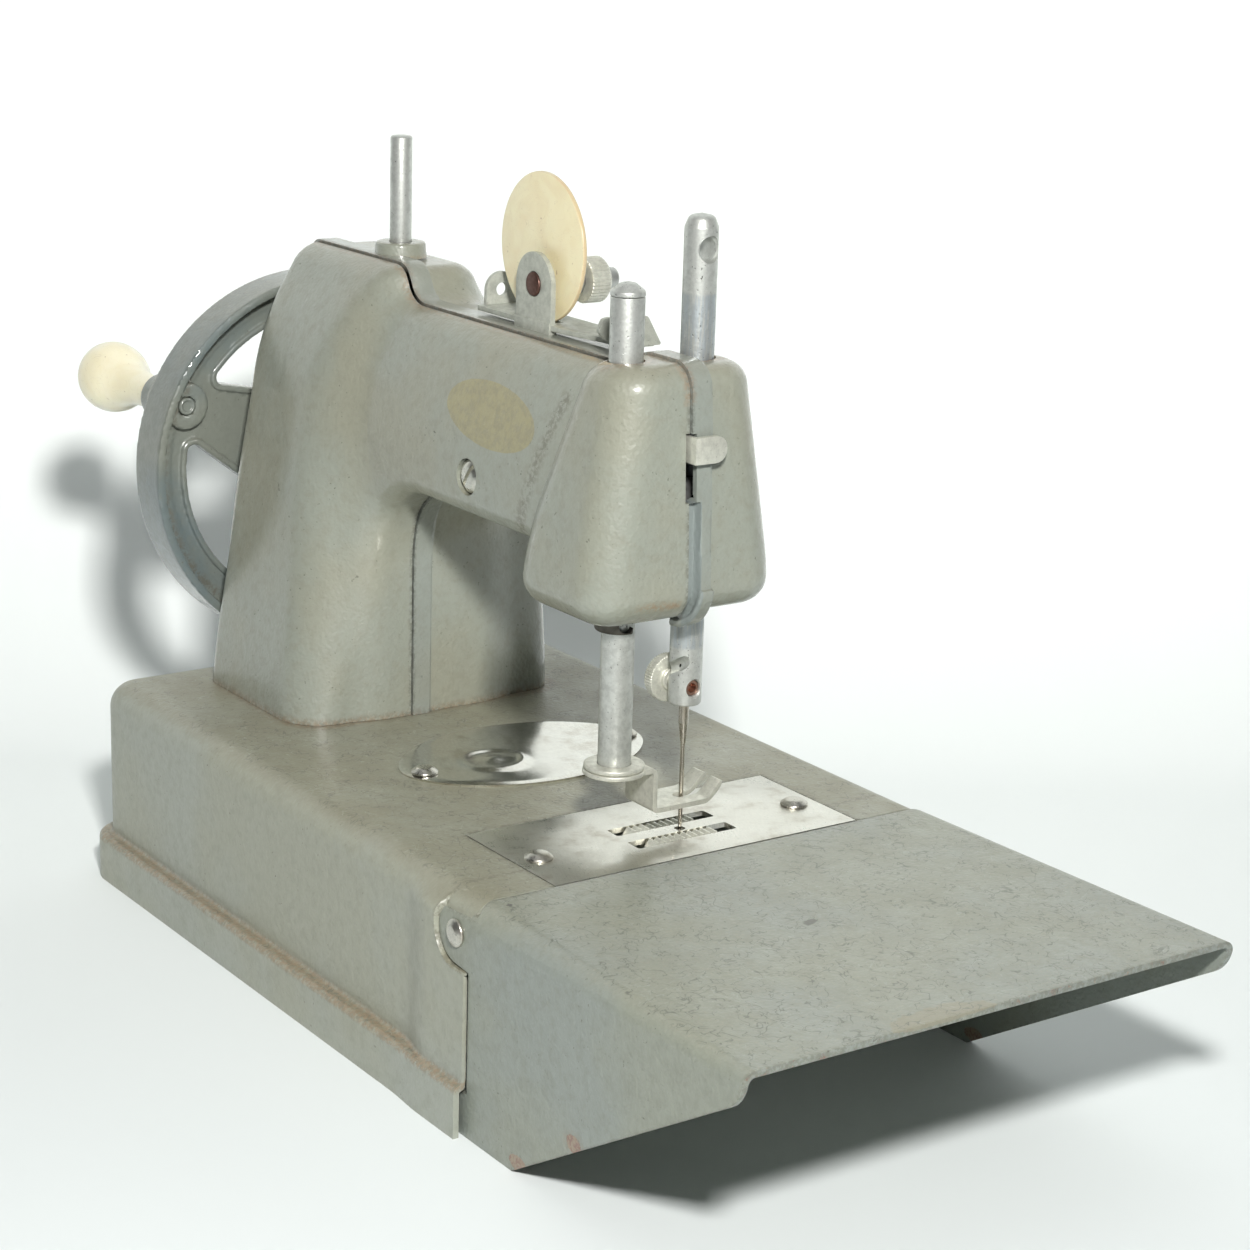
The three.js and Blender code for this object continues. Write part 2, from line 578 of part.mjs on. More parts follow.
function needleBar() {
  const lowEnd = [[0, 70.5], [BAR_R - 0.3, 70.5], [BAR_R, 70.8]];
  const highEnd = [[BAR_R, 161], [2.4, 162.7], [1.2, 163.4], [0, 163.6]];
  const body = turned('z', [...lowEnd, ...highEnd], [BAR_X, NEEDLE_Y], 24);
  const needleBore = rod('z', 1.3, [69, 82], [BAR_X, NEEDLE_Y], 14);
  const screwBore = rod('x', 1.55, [5, 22], [NEEDLE_Y, SCREW_Z], 14);
  const crossHole = rod('x', 1.5, [5, 22], [NEEDLE_Y, 157], 14);
  return cut(body, needleBore, screwBore, crossHole);
}

function needle() {
  const profile = [[0, 42.6], [0.2, 43.2], [0.42, 45.5], [0.45, 62], [0.95, 66.5], [0.95, 80], [0, 80]];
  return turned('z', profile, [BAR_X, NEEDLE_Y], 10);
}

function clampScrew() {
  const shank = [[0, 14.8], [1.2, 14.8], [1.2, 17.6], [2.2, 17.6], [2.2, 18.4]];
  const disc = [[4.4, 18.4], [4.7, 18.7], [4.7, 20.3], [4.4, 20.6], [0, 20.6]];
  return turned('x', [...shank, ...disc], [NEEDLE_Y, SCREW_Z], 24);
}

function leverCollar() {
  const ringSolid = sleeve('z', BAR_R + GAP, 4.5, [LEVER_Z - 3.5, LEVER_Z + 3.5], [BAR_X, NEEDLE_Y]);
  const pin = rod('y', 1.5, [NEEDLE_Y - 7.6, NEEDLE_Y - 3.9], [BAR_X, LEVER_Z], 12);
  return unite(ringSolid, pin);
}

function presserFoot() {
  const sheet = 1;
  const top = 60.1;
  const [back, leg] = [PRESSER_Y, 7.4];
  const toes = [[-5.4, SOLE_Z + sheet], [-8.6, SOLE_Z + 4], [-9.3, SOLE_Z + 3.3], [-5.8, SOLE_Z]];
  const upper = [[back, top], [leg - sheet, top], [leg - sheet, SOLE_Z + sheet]];
  const profile = [...upper, ...toes, [leg, SOLE_Z], [leg, top - sheet], [back, top - sheet]];
  const strap = prism('x', profile, [9, 18.3]);
  const collar = rod('z', 6, [top - sheet, top], [BAR_X, PRESSER_Y], 24);
  const slot = block([12.2, 14.8], [-12, -0.6], [48, 58]);
  return cut(unite(strap, collar), slot, rod('z', 1.8, [55, 65], [BAR_X, PRESSER_Y], 12));
}

function lifterTab() {
  const stem = block([0.2, 8.9], [5.9, 6.8], [120.2, 125.3]);
  const round = arc(2.3, 122.75, 2.55, 90, 270, 6);
  const front = prism('x', [[6.8, 120.2], [6.8, 125.3], ...round], [0.2, 1.2]);
  return unite(stem, front);
}

function buildHead() {
  piece('needle_lever', needleLever(), STEEL);
  piece('lever_pivot_screw', pivotScrew(), BRIGHT);
  piece('needle_bar', needleBar(), DULL);
  piece('needle', needle(), BRIGHT);
  piece('lever_collar', leverCollar(), STEEL);
  piece('needle_set_screw', rod('x', 1.2, [10.7, 12], [NEEDLE_Y, SCREW_Z], 12), BROWN);
  piece('needle_clamp_screw', clampScrew(), BRIGHT);
  piece('presser_bar', rod('z', BAR_R, [60.4, 149.4], [BAR_X, PRESSER_Y], 24), DULL);
  const cap = [[0, 149.7], [BAR_R, 149.7], [BAR_R, 150.4], [2.6, 151.5], [1.4, 152.2], [0, 152.4]];
  piece('presser_cap', turned('z', cap, [BAR_X, PRESSER_Y], 24), DULL);
  piece('presser_foot', presserFoot(), BRIGHT);
  const rivet = [[0, 57.6], [2.2, 57.6], [2.6, 58.7], [1.4, 58.7], [1.4, 60.1], [0, 60.1]];
  piece('foot_rivet', turned('z', rivet, [BAR_X, PRESSER_Y], 14), BRIGHT);
  piece('lifter_tab', lifterTab(), BRIGHT);
  piece('presser_collar', sleeve('z', BAR_R + GAP, 4.6, [119, 127], [BAR_X, PRESSER_Y]), STEEL);
  const coil = new Helix(4.3, 4, 127.8, 133.4, (a, b, z) => new THREE.Vector3(BAR_X + a, PRESSER_Y + b, z));
  piece('presser_spring', spring(0.4, coil, 40), STEEL);
  piece('presser_bush', sleeve('z', BAR_R + GAP, 4.6, [87.4, 96], [BAR_X, PRESSER_Y]), STEEL);
}

// ---------------------------------------------------------------- under the bed

function looper() {
  const [y, z] = [LOWER.y, LOWER.z];
  const hub = rod('x', 5, [11, 12.6], [y, z], 18);
  const back = [[y - 9, z + 8], [y - 9, z + 5.5], [y - 3, z - 3]];
  const tip = [[y - 17, z + 9.6], [y - 17.6, z + 8.8]];
  const hook = prism('x', [[y + 1, z + 4.6], [y - 8, z + 10.5], ...tip, ...back], [11, 12.6]);
  return cut(unite(hub, hook), rod('x', LOWER_R + GAP, [5, 20], [y, z]));
}

function feedArm() {
  const [y, z] = [LOWER.y, LOWER.z];
  const hub = rod('x', 5, [25.2, 27.2], [y, z], 18);
  const fork = block([25.2, 27.2], [y - 3.6, y + 3.6], [z, z + 10]);
  const slot = block([20, 30], [y - 1.8, y + 1.8], [z + 4.6, z + 12]);
  return cut(unite(hub, fork), slot, rod('x', LOWER_R + GAP, [20, 30], [y, z]));
}

function feedDog() {
  const rails = [[16.2, 19], [8.6, 11.4]].map((x) => block(x, [-8.8, 5.8], [37.5, 44.6]));
  const teeth = [16.2, 8.6].flatMap((x) => Array.from({ length: 9 }, (_, i) => {
    const y = -7.6 + i * 1.5;
    return prism('x', [[y, 44.4], [y + 1.2, 44.4], [y + 0.2, 45.1]], [x, x + 2.8]);
  }));
  const bridge = block([8.6, 24], [2, 5.8], [37.5, 40]);
  const tail = block([21.6, 24], [2, LOWER.y + 1.5], [37.5, 40]);
  const drop = block([21.6, 24], [LOWER.y - 1.5, LOWER.y + 1.5], [LOWER.z + 5.2, 40]);
  const pin = rod('x', 1.2, [23.5, 27.4], [LOWER.y, LOWER.z + 7], 12);
  return unite(...rails, ...teeth, bridge, tail, drop, pin);
}

function rockerArm() {
  const [y, z] = [LOWER.y, LOWER.z];
  const reach = y - ECCENTRIC;
  const width = [119.5, 122.5];
  const arm = unite(rod('x', 5.2, width, [y, z], 18), rod('x', 3.2, width, [y - reach, z], 16));
  const web = block(width, [y - reach, y], [z - 2.8, z + 2.8]);
  const pin = rod('x', 1.6, [122, 124.8], [y - reach, z], 12);
  return cut(unite(arm, web, pin), rod('x', LOWER_R + GAP, [115, 124], [y, z]));
}

function hanger(x) {
  const [low, high] = [15, BED - SHEET - 0.4];
  const outline = [[-7, low], [7, low], [9, high], [-9, high]].map(([y, z]) => [LOWER.y + y, z]);
  const plate = prism('x', outline, [x, x + 2]);
  return cut(plate, rod('x', LOWER_R + GAP, [x - 5, x + 5], [LOWER.y, LOWER.z]));
}

function buildUnderBed() {
  piece('lower_shaft', rod('x', LOWER_R, [7, 123.6], [LOWER.y, LOWER.z]), STEEL);
  piece('looper', looper(), STEEL);
  piece('feed_arm', feedArm(), STEEL);
  piece('feed_dog', feedDog(), STEEL);
  piece('rocker_arm', rockerArm(), STEEL);
  piece('shaft_hanger_left', hanger(42), STEEL);
  piece('shaft_hanger_right', hanger(104), STEEL);
}

buildBase();
buildExtension();
buildShells();
buildTop();
buildDrive();
buildHead();
buildUnderBed();

export default machine;
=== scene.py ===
"""Hand-crank sewing machine: the looks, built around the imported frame.

Lengths are in millimetres, in the drawing's axes: X = 0 where the bed extension meets the base, Y = 0 on
the main shaft, Z = 0 on the table. place() turns them into the frame's metres. The operator sits on -Y.
"""

import math

import bmesh
import bpy
import numpy as np
from mathutils import Matrix, Vector


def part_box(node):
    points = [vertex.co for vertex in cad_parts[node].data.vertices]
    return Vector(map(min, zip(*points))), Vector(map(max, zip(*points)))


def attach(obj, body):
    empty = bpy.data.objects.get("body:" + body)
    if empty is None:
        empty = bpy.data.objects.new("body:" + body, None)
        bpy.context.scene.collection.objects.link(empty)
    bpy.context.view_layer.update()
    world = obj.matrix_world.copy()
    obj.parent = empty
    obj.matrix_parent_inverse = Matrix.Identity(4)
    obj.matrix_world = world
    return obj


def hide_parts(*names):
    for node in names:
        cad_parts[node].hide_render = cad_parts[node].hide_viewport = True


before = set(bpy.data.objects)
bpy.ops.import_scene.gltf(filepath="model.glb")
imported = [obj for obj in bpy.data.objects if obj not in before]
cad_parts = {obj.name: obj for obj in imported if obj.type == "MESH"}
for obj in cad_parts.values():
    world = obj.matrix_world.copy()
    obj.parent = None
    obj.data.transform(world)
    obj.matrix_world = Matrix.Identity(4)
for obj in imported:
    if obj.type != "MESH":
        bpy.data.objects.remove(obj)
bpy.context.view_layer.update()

# ---------------------------------------------------------------- driving values

MM = 0.001
DRAWING_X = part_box("needle_plate")[0].x       # where the drawing's X = 0 lies in the frame

SHEET = 1.2
BED = 45.0
BASE_END = 158.0
BASE_HALF = 53.0
SKIRT = 3.0
SKIRT_HEIGHT = 10.2
EXTENSION = 82.4
WING_OUTER = 54.2                             # half width over the extension's side wings
HINGE = (3.2, 38.6)                           # X, Z of the two rivets
LUG_R = 6.0

BAR_R = 3.175
BAR_X = 13.5
NEEDLE_Y = -2.4
PRESSER_Y = 13.5
SCREW_Z = 74.0
NEEDLE_AXIS = (BAR_X, NEEDLE_Y)
PRESSER_AXIS = (BAR_X, PRESSER_Y)
CLAMP_AXIS = (NEEDLE_Y, SCREW_Z)              # Y, Z of the screws in the needle bar

SEAM_REAR = 6.55                              # where the rear shell starts, a little behind the front one
SEAM_FRONT = 6.25
BAND = (1.7, 6.25)                            # Y range of the raised seam band
BAND_RISE = 0.55
SKIN_STEP = 0.7
COLUMN_X = (102.4, 145.6)
COLUMN_TOP = 141.9
ARM_BOTTOM = 98.0
ARM_TOP = 134.7
ARCH_R = 19.0

SHAFT_Z = 90.9
WHEEL_R = 42.2
WHEEL_X = 149.1
WINDOWS = (84, 204, 324)                      # middle of each opening between the spokes, degrees from +Y
CRANK_ANGLE = math.radians(24)
KNOB_R = 36.9
KNOB_YZ = (KNOB_R * math.cos(CRANK_ANGLE), SHAFT_Z + KNOB_R * math.sin(CRANK_ANGLE))
KNOB_END = 197.3

PIVOT = (61.9, 106.7)
STUD = (60.2, 144.3)
DISC = (62.3, 151.0)
DISC_R = 14.8
SPOOL_X = 117.7
PLATE_SCREW = (13.3, 30.2)                    # X, and Y to either side
COVER = (66.5, -0.3)
COVER_HALF = (18.4, 27.0)
SLOTS = (((15.7, 19.5), (-12.3, 10.6)), ((8, 12), (-12.1, 11)))

# ---------------------------------------------------------------- camera

CAMERA_AT = (-0.4585, 0.3029, 0.2315)
CAMERA_AIM = (-0.0269, 0.0, 0.0819)
CAMERA_LENS = 81.4
CAMERA_ROLL = math.radians(1.75)


def make_camera():
    data = bpy.data.cameras.new("camera")
    data.lens = CAMERA_LENS
    data.sensor_width = 36
    data.clip_start = 0.01
    camera = bpy.data.objects.new("camera", data)
    bpy.context.scene.collection.objects.link(camera)
    aim = (Vector(CAMERA_AIM) - Vector(CAMERA_AT)).to_track_quat("-Z", "Y").to_matrix().to_4x4()
    camera.matrix_world = Matrix.Translation(CAMERA_AT) @ aim @ Matrix.Rotation(CAMERA_ROLL, 4, "Z")
    bpy.context.scene.camera = camera


make_camera()

# ---------------------------------------------------------------- mesh helpers


def place(points):
    out = np.asarray(points, float) * MM
    out[..., 0] += DRAWING_X
    return out


def drawing_points(obj):
    points = np.zeros(len(obj.data.vertices) * 3, np.float32)
    obj.data.vertices.foreach_get("co", points)
    points = points.reshape(-1, 3).astype(float)
    points[:, 0] -= DRAWING_X
    return points / MM


def add_mesh(name, points, faces):
    mesh = bpy.data.meshes.new(name)
    mesh.from_pydata(place(points).tolist(), [], [[int(i) for i in face] for face in faces])
    obj = bpy.data.objects.new(name, mesh)
    bpy.context.scene.collection.objects.link(obj)
    return obj


def edit(obj, work):
    """Runs work(bm) on the object's mesh and writes it back."""
    bm = bmesh.new()
    bm.from_mesh(obj.data)
    work(bm)
    bm.to_mesh(obj.data)
    bm.free()
    return obj


def outward(obj):
    return edit(obj, lambda bm: bmesh.ops.recalc_face_normals(bm, faces=bm.faces))


def bake_modifiers(obj):
    bpy.context.view_layer.update()
    graph = bpy.context.evaluated_depsgraph_get()
    old = obj.data
    obj.data = bpy.data.meshes.new_from_object(obj.evaluated_get(graph))
    obj.modifiers.clear()
    bpy.data.meshes.remove(old)
    return obj


def remove(obj):
    mesh = obj.data
    bpy.data.objects.remove(obj)
    bpy.data.meshes.remove(mesh)


def boolean(obj, operation, *others):
    for other in others:
        modifier = obj.modifiers.new(operation.lower(), "BOOLEAN")
        modifier.operation = operation
        modifier.object = other
        modifier.solver = "MANIFOLD"
        bake_modifiers(obj)
        remove(other)
    return obj


def carve(obj, *cutters):
    return boolean(obj, "DIFFERENCE", *cutters)


def soften(obj, width, segments=2, angle=40):
    modifier = obj.modifiers.new("bevel", "BEVEL")
    modifier.width = width * MM
    modifier.segments = segments
    modifier.limit_method = "ANGLE"
    modifier.angle_limit = math.radians(angle)
    return bake_modifiers(obj)


def thicken(obj, thickness):
    """Turns an open sheet into one with that thickness, measured inwards."""
    modifier = obj.modifiers.new("solidify", "SOLIDIFY")
    modifier.thickness = thickness * MM
    modifier.offset = -1
    modifier.use_rim = True
    return bake_modifiers(obj)


def slice_off(obj, point, normal):
    """Removes what lies on the normal's side of a plane and leaves the cut open."""
    def work(bm):
        everything = bm.verts[:] + bm.edges[:] + bm.faces[:]
        bmesh.ops.bisect_plane(bm, geom=everything, plane_co=Vector(place(point)), plane_no=Vector(normal),
                               clear_outer=True, dist=1e-7)
    return edit(obj, work)


def join(obj, *others):
    def work(bm):
        for other in others:
            bm.from_mesh(other.data)
    edit(obj, work)
    for other in others:
        remove(other)
    return obj


def finish(obj, body, material, replaces=(), crease=35):
    obj.data.shade_smooth()
    obj.data.set_sharp_from_angle(angle=math.radians(crease))
    obj.data.materials.clear()
    obj.data.materials.append(material)
    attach(obj, body)
    if replaces:
        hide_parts(*replaces)
    return obj


def mask(obj, name, values):
    """Stores one number per vertex for a material to read."""
    attribute = obj.data.attributes.new(name, "FLOAT", "POINT")
    attribute.data.foreach_set("value", np.clip(values, 0, 1).astype(np.float32))


def most(*values):
    """The largest of several masks at each vertex."""
    return np.maximum.reduce(values)


def normal_points_in(obj):
    """Whether the sheet's top faces look down."""
    tops = [p.normal.z for p in obj.data.polygons if abs(p.normal.z) > 0.9]
    return sum(tops) < 0


def tilt(obj, point, degrees):
    """Turns a mesh about the Y direction through that point."""
    pivot = Vector(place(point))
    turn = Matrix.Rotation(math.radians(degrees), 4, "Y")
    obj.data.transform(Matrix.Translation(pivot) @ turn @ Matrix.Translation(-pivot))


# ---------------------------------------------------------------- outlines and simple solids


def arc(cx, cy, radius, start, end, steps):
    angles = np.radians(np.linspace(start, end, steps + 1))
    return [(cx + radius * math.cos(a), cy + radius * math.sin(a)) for a in angles]


def rounded(corners, closed=True, steps=5):
    """A polygon given as (a, b, radius) corners, with each corner turned into an arc."""
    out = []
    for i, (x, y, radius) in enumerate(corners):
        if radius <= 0 or (not closed and i in (0, len(corners) - 1)):
            out.append((x, y))
            continue
        corner = Vector((x, y))
        back = Vector(corners[i - 1][:2]) - corner
        ahead = Vector(corners[(i + 1) % len(corners)][:2]) - corner
        half = back.angle(ahead) / 2
        cut = min(radius / math.tan(half), 0.49 * back.length, 0.49 * ahead.length)
        size = cut * math.tan(half)
        middle = (back.normalized() + ahead.normalized()).normalized()
        centre = corner + middle * (size / math.sin(half))
        start = corner + back.normalized() * cut - centre
        end = corner + ahead.normalized() * cut - centre
        swing = start.angle_signed(end)
        for step in range(steps + 1):
            turn = -swing * step / steps
            out.append((centre.x + start.x * math.cos(turn) - start.y * math.sin(turn),
                        centre.y + start.x * math.sin(turn) + start.y * math.cos(turn)))
    return out


def along(axis, a, b, c):
    """A point whose flat coordinates are (a, b) and whose place on the axis is c."""
    if axis == "x":
        return (c, a, b)
    if axis == "y":
        return (a, c, b)
    return (a, b, c)


def prism(name, axis, outline, low, high):
    count = len(outline)
    points = [along(axis, a, b, level) for level in (low, high) for a, b in outline]
    sides = [(i, (i + 1) % count, count + (i + 1) % count, count + i) for i in range(count)]
    return outward(add_mesh(name, points, [range(count), range(count, 2 * count), *sides]))


def box(name, x, y, z):
    return prism(name, "z", [(x[0], y[0]), (x[1], y[0]), (x[1], y[1]), (x[0], y[1])], *z)


def lathe(name, axis, profile, centre, sides=64, ripple=None):
    """A closed solid of revolution from (radius, place) pairs.

    ripple(radius, place, angle), when it is given, returns a new radius.
    """
    points, rings, faces = [], [], []
    for radius, level in profile:
        count = 1 if radius < 1e-6 else sides
        rings.append(range(len(points), len(points) + count))
        for i in range(count):
            angle = 2 * math.pi * i / sides
            size = ripple(radius, level, angle) if ripple and count > 1 else radius
            points.append(along(axis, centre[0] + size * math.cos(angle),
                                centre[1] + size * math.sin(angle), level))
    closed = profile[0][0] > 1e-6
    pairs = list(zip(rings, rings[1:] + ([rings[0]] if closed else [])))
    for first, second in pairs[:len(rings) if closed else None]:
        for i in range(sides):
            j = (i + 1) % sides
            if len(first) == 1 and len(second) > 1:
                faces.append((first[0], second[i], second[j]))
            elif len(second) == 1 and len(first) > 1:
                faces.append((first[i], first[j], second[0]))
            elif len(first) > 1:
                faces.append((first[i], first[j], second[j], second[i]))
    return outward(add_mesh(name, points, faces))


def rod(name, axis, radius, low, high, centre, sides=32):
    return lathe(name, axis, [(0, low), (radius, low), (radius, high), (0, high)], centre, sides)


def turned(name, axis, corners, centre, sides=64, ripple=None, steps=4):
    """A lathe whose profile corners are (radius, place, rounding)."""
    return lathe(name, axis, rounded(corners, closed=False, steps=steps), centre, sides, ripple)


def coil(name, axis, centre, radius, wire, turns, low, high):
    """A coil spring, as a swept tube with flat ends."""
    steps, sides = int(turns * 28), 10
    points = []
    for i in range(steps + 1):
        t = i / steps
        angle = 2 * math.pi * turns * t
        for k in range(sides):
            spin = 2 * math.pi * k / sides
            out = radius + wire * math.cos(spin)
            level = low + t * (high - low) + wire * math.sin(spin)
            points.append(along(axis, centre[0] + out * math.cos(angle),
                                centre[1] + out * math.sin(angle), level))
    faces = [range(sides), range(steps * sides, (steps + 1) * sides)]
    for i in range(steps):
        for k in range(sides):
            a, b = i * sides + k, i * sides + (k + 1) % sides
            faces.append((a, b, b + sides, a + sides))
    return outward(add_mesh(name, points, faces))


# ---------------------------------------------------------------- implicit surfaces
# A field is negative inside, and close to a distance in millimetres near the surface.


def grid(start, *stretches):
    """Grid places along one axis: from start, each (end, step) stretch in turn."""
    places = [np.array([start], float)]
    for end, step in stretches:
        begin = places[-1][-1]
        count = max(int(round((end - begin) / step)), 1)
        places.append(np.linspace(begin, end, count + 1)[1:])
    return np.concatenate(places)


def smooth_curve(value, knots):
    """A curve with no kinks through (place, height) knots."""
    x = np.array([k[0] for k in knots], float)
    y = np.array([k[1] for k in knots], float)
    slope = np.gradient(y, x)
    value = np.clip(value, x[0], x[-1])
    i = np.clip(np.searchsorted(x, value) - 1, 0, len(x) - 2)
    width = x[i + 1] - x[i]
    t = (value - x[i]) / width
    near = (1 + 2 * t) * (1 - t) ** 2 * y[i] + t * (1 - t) ** 2 * width * slope[i]
    far = t * t * (3 - 2 * t) * y[i + 1] + t * t * (t - 1) * width * slope[i + 1]
    return near + far


def ease(value, low, high):
    t = np.clip((value - low) / (high - low), 0, 1)
    return t * t * (3 - 2 * t)


def meet(a, b, radius):
    """Both fields at once, with the edge between them rounded."""
    turned_edge = np.hypot(np.maximum(radius + a, 0), np.maximum(radius + b, 0))
    return np.minimum(-radius, np.maximum(a, b)) + turned_edge


def merge(a, b, radius):
    """Either field, with the corner between them filled by a fillet."""
    fillet = np.hypot(np.maximum(radius - a, 0), np.maximum(radius - b, 0))
    return np.maximum(radius, np.minimum(a, b)) - fillet


def rounded_rectangle(u, v, half_u, half_v, radius):
    qu = np.abs(u) - half_u + radius
    qv = np.abs(v) - half_v + radius
    outside = np.hypot(np.maximum(qu, 0), np.maximum(qv, 0))
    return outside + np.minimum(np.maximum(qu, qv), 0) - radius


def polygon_field(u, v, corners):
    """Signed distance to a flat polygon."""
    best = np.full(u.shape, 1e9)
    inside = np.zeros(u.shape, bool)
    for (x0, y0), (x1, y1) in zip(corners, corners[1:] + corners[:1]):
        ex, ey = x1 - x0, y1 - y0
        t = np.clip(((u - x0) * ex + (v - y0) * ey) / (ex * ex + ey * ey), 0, 1)
        best = np.minimum(best, np.hypot(u - x0 - t * ex, v - y0 - t * ey))
        if y0 != y1:
            inside ^= ((y0 > v) != (y1 > v)) & (u < (v - y0) * ex / ey + x0)
    return np.where(inside, -best, best)


EDGES = [(0, 1), (2, 3), (4, 5), (6, 7), (0, 2), (1, 3), (4, 6), (5, 7), (0, 4), (1, 5), (2, 6), (3, 7)]
CORNERS = np.array([(i >> 2 & 1, i >> 1 & 1, i & 1) for i in range(8)])


def cell_points(values, axes, cells):
    """One point in each cell that the surface crosses: the middle of where it cuts the cell's edges."""
    corner = cells[:, None, :] + CORNERS[None]
    f = values[corner[..., 0], corner[..., 1], corner[..., 2]]
    where = np.stack([axes[k][corner[..., k]] for k in range(3)], -1)
    total = np.zeros((len(cells), 3))
    hits = np.zeros(len(cells))
    for a, b in EDGES:
        crosses = (f[:, a] < 0) != (f[:, b] < 0)
        t = np.where(crosses, f[:, a] / np.where(crosses, f[:, a] - f[:, b], 1), 0)
        total += np.where(crosses[:, None], where[:, a] + t[:, None] * (where[:, b] - where[:, a]), 0)
        hits += crosses
    return total / hits[:, None]


def pull_onto(field, points, limit, rounds=3):
    """Moves points on to the surface along the field's slope, by no more than limit in all."""
    start = points.copy()
    for _ in range(rounds):
        f = field(*points.T)
        slope = np.stack([
            (field(*(points + step).T) - field(*(points - step).T)) / 0.1
            for step in np.eye(3) * 0.05
        ], -1)
        points = points - (f / np.maximum((slope ** 2).sum(1), 0.25))[:, None] * slope
        points = start + np.clip(points - start, -limit, limit)
    return points


def surface(name, field, xs, ys, zs):
    """The field's zero surface as a mesh of quads."""
    axes = (xs, ys, zs)
    values = field(*np.meshgrid(xs, ys, zs, indexing="ij"))
    inside = values < 0
    blocks = [inside[c[0]:c[0] + len(xs) - 1, c[1]:c[1] + len(ys) - 1,
                     c[2]:c[2] + len(zs) - 1] for c in CORNERS]
    count = sum(block.astype(np.int8) for block in blocks)
    cells = np.argwhere((count > 0) & (count < 8))
    number = np.full(count.shape, -1, int)
    number[tuple(cells.T)] = np.arange(len(cells))
    step = min(float(np.diff(axis).min()) for axis in axes)
    points = pull_onto(field, cell_points(values, axes, cells), 0.45 * step)
    faces = []
    for axis in range(3):
        b, c = (axis + 1) % 3, (axis + 2) % 3
        low = np.moveaxis(inside, (axis, b, c), (0, 1, 2))
        changed = np.argwhere(low[:-1, 1:-1, 1:-1] != low[1:, 1:-1, 1:-1])
        where = np.zeros((len(changed), 3), int)
        where[:, axis] = changed[:, 0]
        where[:, b] = changed[:, 1] + 1
        where[:, c] = changed[:, 2] + 1
        quad = []
        for back_b, back_c in ((0, 0), (1, 0), (1, 1), (0, 1)):
            cell = where.copy()
            cell[:, b] -= back_b
            cell[:, c] -= back_c
            quad.append(number[tuple(cell.T)])
        quad = np.stack(quad, 1)
        leaves = inside[tuple(where.T)]
        faces.append(np.where(leaves[:, None], quad, quad[:, ::-1]))
    return add_mesh(name, points, np.concatenate(faces))


# ---------------------------------------------------------------- materials


class Look:
    """A Principled material built up from procedural parts, in millimetres of the object's own space."""

    def __init__(self, name, **sockets):
        self.material = bpy.data.materials.new(name)
        self.material.use_nodes = True
        self.tree = self.material.node_tree
        self.tree.nodes.clear()
        self.shader = self.add("ShaderNodeBsdfPrincipled")
        output = self.add("ShaderNodeOutputMaterial")
        self.tree.links.new(self.shader.outputs[0], output.inputs[0])
        self.coordinates = self.add("ShaderNodeTexCoord")
        scale = self.add("ShaderNodeVectorMath", operation="SCALE")
        scale.inputs["Scale"].default_value = 1 / MM
        self.tree.links.new(self.coordinates.outputs["Object"], scale.inputs[0])
        self.place = scale.outputs[0]
        for socket, value in sockets.items():
            self.set(socket.replace("_", " "), value)

    def add(self, kind, **settings):
        node = self.tree.nodes.new(kind)
        for key, value in settings.items():
            setattr(node, key, value)
        return node

    def put(self, socket, value):
        if isinstance(value, bpy.types.NodeSocket):
            self.tree.links.new(value, socket)
        elif isinstance(value, (tuple, list)) and len(value) == 3 and socket.type == "RGBA":
            socket.default_value = (*value, 1)
        else:
            socket.default_value = value

    def set(self, name, value):
        self.put(self.shader.inputs[name], value)
        return self

    def stretched(self, x, y, z):
        node = self.add("ShaderNodeVectorMath", operation="MULTIPLY")
        self.put(node.inputs[0], self.place)
        node.inputs[1].default_value = (x, y, z)
        return node.outputs[0]

    def noise(self, size, detail=3, rough=0.5, place=None, distortion=0):
        """Noise whose features are about size millimetres across."""
        node = self.add("ShaderNodeTexNoise")
        self.put(node.inputs["Vector"], place or self.place)
        node.inputs["Scale"].default_value = 1 / size
        node.inputs["Detail"].default_value = detail
        node.inputs["Roughness"].default_value = rough
        node.inputs["Distortion"].default_value = distortion
        return node.outputs["Fac"]

    def ramp(self, value, low, high, out_low=0.0, out_high=1.0):
        node = self.add("ShaderNodeMapRange", interpolation_type="SMOOTHSTEP")
        self.put(node.inputs["Value"], value)
        for socket, number in (("From Min", low), ("From Max", high), ("To Min", out_low),
                               ("To Max", out_high)):
            node.inputs[socket].default_value = number
        return node.outputs["Result"]

    def maths(self, operation, a, b=0.0):
        node = self.add("ShaderNodeMath", operation=operation)
        self.put(node.inputs[0], a)
        self.put(node.inputs[1], b)
        return node.outputs[0]

    def times(self, a, b):
        return self.maths("MULTIPLY", a, b)

    def mix(self, factor, a, b):
        node = self.add("ShaderNodeMix", data_type="RGBA")
        self.put(node.inputs["Factor"], factor)
        self.put(node.inputs[6], a)
        self.put(node.inputs[7], b)
        return node.outputs[2]

    def mask(self, name):
        return self.add("ShaderNodeAttribute", attribute_name=name).outputs["Fac"]

    def up(self):
        """How far the surface faces up, from -1 to 1."""
        node = self.add("ShaderNodeSeparateXYZ")
        self.put(node.inputs[0], self.coordinates.outputs["Normal"])
        return node.outputs["Z"]

    def bump(self, height, depth, strength=1.0, after=None):
        node = self.add("ShaderNodeBump")
        self.put(node.inputs["Height"], height)
        node.inputs["Distance"].default_value = depth * MM
        node.inputs["Strength"].default_value = strength
        if after is not None:
            self.put(node.inputs["Normal"], after)
        return node.outputs["Normal"]


